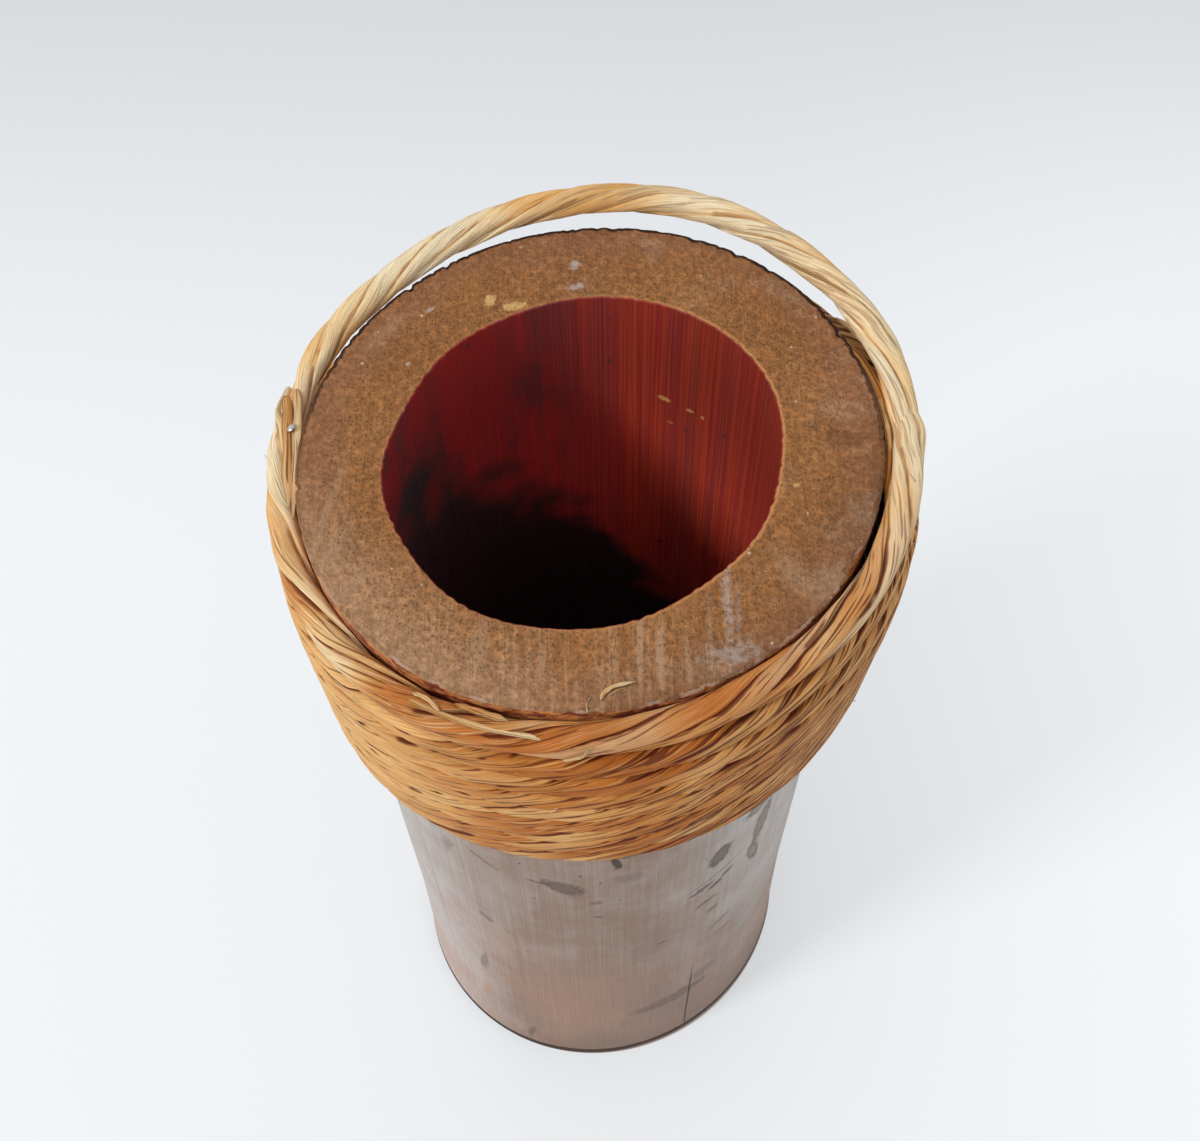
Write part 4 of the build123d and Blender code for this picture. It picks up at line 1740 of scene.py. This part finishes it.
@dataclass(frozen=True)
class CrumbFinish(Finish):
    """Torn wood: pale at the front, with painted shade making it nearly black at the back."""

    pale: Colour = (0.56, 0.37, 0.22)
    brown: Colour = (0.30, 0.13, 0.050)
    black: Colour = (0.060, 0.028, 0.016)

    def material(self) -> Material:
        """Build the material.

        Returns:
            The material.
        """
        material, graph, shader = self.begin()
        position = graph.position()
        tone = graph.ease(graph.noise(position, 420.0, 2.0), 0.40, 0.60)
        colour = graph.mix(tone, self.pale, self.brown)
        # Painted shade: the crumbs turn nearly black towards the back.
        behind = graph.ease(graph.parts(position)[1], -0.025, 0.010, 0.0, 0.88)
        graph.feed(shader.inputs["Base Color"], graph.mix(behind, colour, self.black))
        return material


@dataclass
class RimCrumbs:
    """Torn crumbs along the rim's outer edge."""

    culm: Culm
    inside: float = 0.9 * MM
    density: float = 620000.0
    size: float = 0.17 * MM

    def build(self, tree: NodeTree, finish: Material) -> Object:
        """Scatter the crumbs and turn them into a plain mesh.

        Args:
            tree: The crumbs' geometry nodes.
            finish: Material of the crumbs.

        Returns:
            The finished piece.
        """
        culm = self.culm
        edge = culm.radius(culm.angles, culm.height) - 0.35 * MM - culm.chips() * 0.8
        points = np.concatenate([culm.ring(edge - self.inside, culm.height - 0.05 * MM),
                                 culm.ring(edge, culm.height - 0.15 * MM)])
        count = culm.segments
        faces = [(column, count + column, count + (column + 1) % count, (column + 1) % count)
                 for column in range(count)]
        guide = mesh_object("rim_crumbs_guide", points, faces, finish)
        set_modifier(guide, tree, {"Per square metre": self.density, "Size": self.size, "Finish": finish})
        return plain_mesh(guide, "rim_crumbs")


@dataclass(frozen=True)
class Brads:
    """Round-headed brads that pin the cord's two cut ends."""

    places: tuple = (((-62.15, 6.9, 268.45), (-0.42, 0.10, 0.90)), ((9.0, 66.1, 206.6), (0.13, 0.99, 0.0)))
    head_radius: float = 1.05
    profile: tuple = ((0.0, 0.42), (0.35, 0.39), (0.70, 0.28), (0.93, 0.10), (1.0, -0.06), (0.85, -0.16),
                      (0.40, -0.20), (0.36, -2.2))
    sides: int = 28

    def build(self, finish: Material) -> Object:
        """Turn both brads' heads and the tops of their shanks.

        Args:
            finish: Steel.

        Returns:
            The finished piece.
        """
        points, faces, brim = [], [], []
        for place, out in self.places:
            turn = Vector(out).normalized().to_track_quat("Z", "Y")
            centre, first = Vector(place) * MM, len(points)
            points.append(centre + turn @ Vector((0, 0, self.profile[0][1])) * MM)
            brim.append(0.0)
            for share, height in self.profile[1:]:
                for side in range(self.sides):
                    angle = FULL_TURN * side / self.sides
                    reach = share * self.head_radius
                    spot = Vector((reach * math.cos(angle), reach * math.sin(angle), height)) * MM
                    points.append(centre + turn @ spot)
                    brim.append(share if height > -1 else 0.0)
            rows = len(self.profile) - 1
            for side in range(self.sides):
                beside = (side + 1) % self.sides
                faces.append((first, first + 1 + side, first + 1 + beside))
                for row in range(rows - 1):
                    start, under = first + 1 + row * self.sides, first + 1 + (row + 1) * self.sides
                    faces.append((start + side, under + side, under + beside, start + beside))
            bottom = first + 1 + (rows - 1) * self.sides
            faces.append(tuple(bottom + side for side in reversed(range(self.sides))))
        piece = mesh_object("brad_heads", np.array(points), faces, finish)
        set_values(piece.data, "from_middle", np.array(brim))
        outward_faces(piece.data)
        piece.data.shade_smooth()
        return piece


@dataclass(frozen=True)
class Studio:
    """Floor, lamps and camera."""

    floor_colour: Colour = (0.885, 0.912, 0.932)
    right_colour: Colour = (0.945, 0.970, 0.985)
    far_colour: Colour = (0.66, 0.665, 0.69)
    glow_colour: Colour = (0.90, 0.93, 0.955)
    right_glow_colour: Colour = (0.96, 0.985, 1.0)
    sky_colour: Colour = (0.97, 0.985, 1.0)
    floor_side: float = 3.0
    floor_roughness: float = 0.24
    floor_gloss: float = 0.6
    right_reach: tuple[float, float] = (0.02, 0.30)
    far_reach: tuple[float, float] = (0.12, 0.62)
    world_strength: float = 0.74
    key_strength: float = 37.0
    key_size: float = 0.60
    floor_glow_share: float = 0.44
    right_glow_share: float = 0.62
    key_distance: float = 3.0
    key_azimuth: float = 208.0
    key_elevation: float = 42.0
    camera_place: tuple[float, float, float] = (0.00136, -0.17706, 0.52071)
    camera_forward: tuple[float, float, float] = (0.0, 0.50709, -0.86189)
    camera_right: tuple[float, float, float] = (0.99985, -0.01489, -0.00876)
    sensor_width: float = 36.0
    focal_pixels: float = 1500.0
    frame_pixels: float = 1200.0

    def camera(self) -> None:
        """Place the camera at the photograph's viewpoint."""
        data = bpy.data.cameras.new("camera")
        data.sensor_fit = "HORIZONTAL"
        data.sensor_width = self.sensor_width
        data.lens = self.sensor_width * self.focal_pixels / self.frame_pixels
        data.clip_start = 0.01
        back = -Vector(self.camera_forward)
        right = Vector(self.camera_right)
        up = back.cross(right).normalized()
        camera = new_object("camera", data)
        rotation = camera.rotation_euler.to_matrix()
        rotation.col[0], rotation.col[1], rotation.col[2] = up.cross(back).normalized(), up, back
        camera.matrix_world = rotation.to_4x4()
        camera.location = self.camera_place
        bpy.context.scene.camera = camera

    def lamp(self) -> None:
        """Hang the soft window light, high at the left."""
        data = bpy.data.lights.new("window", "AREA")
        data.shape = "SQUARE"
        data.size = self.key_size
        data.energy = self.key_strength
        azimuth, elevation = math.radians(self.key_azimuth), math.radians(self.key_elevation)
        towards = Vector((math.cos(azimuth) * math.cos(elevation), math.sin(azimuth) * math.cos(elevation),
                          math.sin(elevation)))
        lamp = new_object("window", data)
        lamp.rotation_euler = towards.to_track_quat("Z", "Y").to_euler()
        lamp.location = towards * self.key_distance + Vector((0, 0, 0.2))

    def surroundings(self) -> None:
        """Light the scene evenly from all round."""
        world = bpy.data.worlds.new("studio")
        world.use_nodes = True
        shade = world.node_tree.nodes["Background"]
        shade.inputs["Color"].default_value = (*self.sky_colour, 1.0)
        shade.inputs["Strength"].default_value = self.world_strength
        bpy.context.scene.world = world

    def floor(self) -> None:
        """Lay the pale table."""
        side = self.floor_side
        corners = np.array([(-side, -side, 0), (side, -side, 0), (side, side, 0), (-side, side, 0)], float)
        material = bpy.data.materials.new("pale_table")
        material.use_nodes = True
        graph = Graph(material.node_tree)
        shader = material.node_tree.nodes["Principled BSDF"]
        right, back, _ = graph.parts(graph.position())
        # Painted light: the floor made paler towards the right, to make up for the lamp's weaker light and
        # soft shadow there.
        righter, farther = graph.ease(right, *self.right_reach), graph.ease(back, *self.far_reach)
        near = graph.mix(righter, self.floor_colour, self.right_colour)
        graph.feed(shader.inputs["Base Color"], graph.mix(farther, near, self.far_colour))
        shader.inputs["Roughness"].default_value = self.floor_roughness
        shader.inputs["Specular IOR Level"].default_value = self.floor_gloss
        ray = graph.outputs(graph.add("ShaderNodeLightPath"))
        seen = graph.larger(ray["Is Glossy Ray"], ray["Is Transmission Ray"])
        seen = graph.larger(ray["Is Camera Ray"], seen)
        glow = graph.add("ShaderNodeEmission", {"Strength": 1.0})
        bright = graph.mix(righter, self.glow_colour, self.right_glow_colour)
        graph.feed(glow.inputs["Color"], graph.mix(farther, bright, self.far_colour))
        layered = graph.add("ShaderNodeMixShader")
        # Painted light: the floor glows more towards the right.
        share = graph.ease(right, *self.right_reach, self.floor_glow_share, self.right_glow_share)
        graph.feed(layered.inputs[0], seen * share)
        graph.feed(layered.inputs[1], shader.outputs[0])
        graph.feed(layered.inputs[2], glow.outputs[0])
        graph.feed(material.node_tree.nodes["Material Output"].inputs["Surface"], layered.outputs[0])
        floor = mesh_object("floor", corners, [(0, 1, 2, 3)], material)


def skin_marks() -> tuple[Mark, ...]:
    """Return the stains and scratches on the skin.

    Returns:
        The marks.
    """
    grey_brown = (0.078, 0.050, 0.039)
    tan = (0.140, 0.088, 0.062)
    black = (0.030, 0.018, 0.013)
    skin = Surface.SKIN
    return (
        Mark(skin, (-46.6, 176.0), 9.0, 6.5, 10, grey_brown, 0.45, 0.5, 0.35),
        Mark(skin, (-43.6, 160.0), 24.0, 4.6, 84, tan, 0.50, 0.45, 0.45),
        Mark(skin, (-44.8, 141.0), 16.0, 4.2, 100, tan, 0.50, 0.45, 0.45),
        Mark(skin, (-58.1, 160.8), 12.5, 5.8, 78, grey_brown, 0.62, 0.35, 0.35),
        Mark(skin, (-58.2, 147.0), 20.0, 0.7, 24, black, 0.60, 0.2),
        Mark(skin, (-62.5, 141.0), 8.0, 2.6, 30, grey_brown, 0.70, 0.5),
        Mark(skin, (-58.0, 139.0), 6.0, 2.4, 35, grey_brown, 0.75, 0.5),
        Mark(skin, (-54.5, 143.0), 5.0, 2.0, 40, grey_brown, 0.75, 0.5),
        Mark(skin, (-60.5, 128.0), 7.0, 2.6, 20, grey_brown, 0.55, 0.6),
        Mark(skin, (-57.8, 117.5), 5.0, 3.0, 30, grey_brown, 0.50, 0.6),
        Mark(skin, (-53.5, 100.0), 9.0, 3.0, 25, grey_brown, 0.40, 0.6),
        Mark(skin, (-51.5, 89.1), 6.0, 3.0, 15, grey_brown, 0.40, 0.6),
        Mark(skin, (-98.5, 166.5), 12.0, 7.0, 140, grey_brown, 0.62, 0.5, 0.2),
        Mark(skin, (-104.8, 168.5), 6.5, 1.2, -8, black, 0.55, 0.3),
        Mark(skin, (-86.0, 183.5), 9.0, 2.2, 100, black, 0.80, 0.5),
        Mark(skin, (-84.0, 187.5), 9.0, 2.0, 12, black, 0.55, 0.6),
        Mark(skin, (-83.0, 171.9), 9.0, 5.5, 0, grey_brown, 0.30, 0.5),
        Mark(skin, (-91.0, 155.4), 4.0, 2.4, 20, grey_brown, 0.50, 0.5),
        Mark(skin, (-90.7, 143.9), 2.6, 1.8, 0, black, 0.50, 0.4),
        Mark(skin, (-118.8, 172.5), 12.0, 1.0, -40, black, 0.55, 0.3),
        Mark(skin, (-128.5, 168.0), 9.0, 3.5, 80, black, 0.30, 1.2),
        Mark(skin, (-117.5, 116.5), 14.0, 3.2, -62, (0.36, 0.27, 0.15), 0.55, 0.5),
        Mark(skin, (-121.5, 122.0), 6.0, 3.0, -50, grey_brown, 0.50, 0.5),
        Mark(skin, (-126.5, 70.0), 18.0, 3.2, 82, grey_brown, 0.45, 0.8),
        Mark(skin, (-127.5, 38.0), 16.0, 2.8, 84, (0.40, 0.22, 0.10), 0.50, 0.8),
        Mark(skin, (-113.0, 14.0), 12.0, 2.2, 80, grey_brown, 0.55, 0.6),
        Mark(skin, (-68.5, 45.0), 24.0, 8.0, 12, grey_brown, 0.50, 0.6, 0.2),
        Mark(skin, (-57.5, 56.0), 10.0, 8.0, 40, grey_brown, 0.35, 0.6),
        Mark(skin, (-73.0, 109.4), 3.0, 2.0, 0, black, 0.45, 0.4),
        Mark(skin, (-62.2, 30.0), 76.0, 0.75, 89, black, 0.85, 0.12),
        Mark(skin, (-95.0, 22.0), 20.0, 0.9, 2, (0.36, 0.20, 0.11), 0.35, 0.3),
        Mark(skin, (-140.0, 120.0), 90.0, 1.0, 90, (0.20, 0.14, 0.10), 0.30, 0.3),
    )


def rim_marks() -> tuple[Mark, ...]:
    """Return the specks and scratches on the sawn rim.

    Returns:
        The marks.
    """
    white = (0.60, 0.53, 0.48)
    tan = (0.72, 0.44, 0.17)
    pale = (0.47, 0.29, 0.17)
    dark = (0.13, 0.06, 0.03)
    rim = Surface.RIM
    return (
        Mark(rim, (-21.5, 39.0), 3.4, 2.2, 70, tan, 0.85, 0.6),
        Mark(rim, (-16.2, 37.3), 5.6, 2.0, 10, tan, 0.85, 0.6),
        Mark(rim, (-3.0, 48.6), 2.6, 1.6, 60, white, 0.62, 1.1, softness=0.6),
        Mark(rim, (-2.6, 42.6), 3.2, 1.8, 20, white, 0.55, 1.1, softness=0.6),
        Mark(rim, (25.7, -36.5), 15.5, 1.5, 90, white, 0.40, 1.1, softness=0.8),
        Mark(rim, (27.6, -40.0), 12.0, 1.2, 88, white, 0.20, 1.2, softness=0.8),
        Mark(rim, (26.0, -48.0), 8.0, 4.2, 10, white, 0.34, 1.9, softness=0.8),
        Mark(rim, (22.0, -43.0), 14.0, 1.2, 88, pale, 0.40, 0.9, softness=0.8),
        Mark(rim, (8.7, -46.0), 18.0, 1.2, 88, pale, 0.80, 0.7, softness=0.6),
        Mark(rim, (12.4, -49.0), 13.0, 1.6, 90, pale, 0.80, 0.7, softness=0.6),
        Mark(rim, (17.5, -50.0), 10.0, 1.1, 92, pale, 0.60, 0.7, softness=0.7),
        Mark(rim, (4.0, -50.5), 9.0, 1.0, 90, pale, 0.45, 0.7, softness=0.7),
        Mark(rim, (-21.5, -45.5), 11.0, 3.0, 84, pale, 0.45, 0.9, softness=0.8),
        Mark(rim, (-10.0, -50.0), 10.0, 1.3, 90, pale, 0.45, 0.9, softness=0.7),
        Mark(rim, (38.8, -31.0), 11.0, 5.0, 115, pale, 0.42, 0.9, softness=0.8),
        Mark(rim, (47.0, -34.0), 12.0, 6.5, 55, pale, 0.32, 0.8, softness=0.8),
        Mark(rim, (51.4, 0.8), 7.0, 3.6, 0, dark, 0.50, 0.8, softness=0.8),
        Mark(rim, (50.5, 7.5), 7.5, 4.0, -20, pale, 0.30, 0.9, softness=0.8),
        Mark(rim, (-51.3, -25.0), 12.0, 2.6, 65, pale, 0.42, 0.9, softness=0.8),
        Mark(rim, (-48.0, -33.0), 14.0, 2.2, 50, pale, 0.40, 0.9, softness=0.8),
        Mark(rim, (-52.5, -14.0), 24.0, 1.4, 78, pale, 0.40, 0.7, softness=0.8),
        Mark(rim, (-43.5, 31.0), 12.0, 3.0, 48, pale, 0.30, 0.9, softness=0.8),
        Mark(rim, (-34.5, 36.5), 2.0, 1.0, 30, white, 0.50, 0.8, softness=0.6),
        Mark(rim, (-38.5, 22.0), 1.2, 0.8, 30, white, 0.70, 0.5, softness=0.5),
        Mark(rim, (41.0, -10.5), 1.3, 0.9, 20, tan, 0.80, 0.5, softness=0.5),
        Mark(rim, (57.0, -11.0), 22.0, 1.8, 84, dark, 0.40, 0.6, softness=0.8),
    )


def bore_marks() -> tuple[Mark, ...]:
    """Return the specks inside the bore.

    Returns:
        The marks.
    """
    tan = (0.85, 0.48, 0.18)
    bore = Surface.BORE
    return (
        Mark(bore, (64.7, 237.4), 3.2, 1.5, 12, tan, 0.80, 0.7),
        Mark(bore, (55.2, 236.6), 2.2, 1.1, -14, tan, 0.65, 0.7),
        Mark(bore, (50.0, 236.8), 1.6, 1.0, 80, tan, 0.55, 0.7),
        Mark(bore, (62.0, 229.0), 1.4, 1.0, 0, tan, 0.35, 0.7),
    )


def main() -> None:
    """Build every piece in order and report it."""
    bpy.context.scene.view_settings.view_transform = "Standard"
    studio = Studio()
    studio.camera()
    studio.lamp()
    studio.surroundings()
    studio.floor()
    culm = Culm()
    band = Band(culm)
    cord_work = CordWork(band, cord_tree())

    fresh = RushFinish("rush_fresh", 0.50, gold=(0.84, 0.470, 0.175), cream=(0.98, 0.740, 0.430),
                       amber=(0.53, 0.160, 0.030), seam=(0.130, 0.020, 0.009), variety=1.35,
                       seam_share=0.80, seam_width=0.160, fold_strength=0.62, crack_share=0.60,
                       toasted=0.63, right_seams=0.050,
                       behind=((1.0, 0.840, 0.560), (1.0, 0.750, 0.420), (0.90, 0.480, 0.160),
                               (0.26, 0.046, 0.014))).material()
    aged = RushFinish("rush_aged", 0.55, gold=(0.68, 0.275, 0.060), cream=(0.91, 0.550, 0.220),
                      amber=(0.43, 0.116, 0.018), seam=(0.095, 0.013, 0.007), variety=0.85, seam_share=0.80,
                      seam_width=0.18, fold_strength=0.62, crack_share=0.68, patches=0.30, toasted=0.24,
                      right_seams=0.110, bleached=0.62).material()
    loose = RushFinish("rush_loose", 0.50, gold=(0.92, 0.520, 0.200), cream=(1.0, 0.760, 0.440),
                       amber=(0.60, 0.220, 0.050), variety=1.1, seam_share=0.6, fold_strength=0.5,
                       crack_share=0.5).material()
    rim_turn, rim_length, rim_turns = cord_work.rim_turn(fresh)
    handle, handle_line = cord_work.handle(fresh, rim_length, rim_turns)
    winding = cord_work.winding(aged)
    leaves = LooseLeaves().build(loose)
    threads = fibre_tree()
    thread = ThreadFinish("stray_thread", 0.5).material()
    band_fibres = StrayFibres("band_fibres", 900.0).grow(threads, winding, thread)
    rim_fibres = StrayFibres("rim_fibres", 2600.0, seed=8).grow(threads, rim_turn, thread)

    bore_radius = (culm.bore_long_radius + culm.bore_short_radius) / 2
    skin = SkinFinish("culm_skin", 0.34, culm.short_radius, culm.height, skin_marks())
    sawn = SawnFinish("sawn_end_grain", 0.72, culm.long_radius, culm.height, rim_marks())
    lacquer = LacquerFinish("bore_lacquer", 0.38, bore_radius, culm.height, bore_marks())
    body = culm.build([skin.material(), sawn.material(), lacquer.material()])
    brads = Brads().build(SteelFinish("brad_steel", 0.28).material())
    crumbs = RimCrumbs(culm).build(crumb_tree(), CrumbFinish("torn_wood", 0.75).material())

    for piece, node, slot in ((body, "bamboo_culm", "bamboo"), (winding, "cord_winding", "rush_cord"),
                              (rim_turn, "rim_turn", "rush_cord"), (brads, "brads", "brad_steel"),
                              (leaves, "", "rush_cord"), (band_fibres, "", "rush_cord"),
                              (rim_fibres, "", "rush_cord"), (crumbs, "", "bamboo")):
        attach(piece, "vase")
        if node:
            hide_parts(node)
        log.info("%s: %d faces", piece.name, len(piece.data.polygons))

    joint = frame["joints"][0]
    axis, centre = Vector(joint["axis"]), Vector(joint["pos_m"])
    ahead = Vector((0, 0, 1)).cross(axis).normalized()
    centre - ahead * cord_work.bend_before
    centre + ahead * cord_work.bend_after
    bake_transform(handle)
    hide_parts("handle_cord")
    tuple(band.rim_point(band.right_root_angle))
    length_of(handle_line)
    [tuple(point) for point in handle_line]
    log.info("%s: %.1f mm long", handle.name, length_of(handle_line) / MM)


if __name__ == "__main__":
    logging.basicConfig(level=logging.INFO, format="%(message)s")
    main()
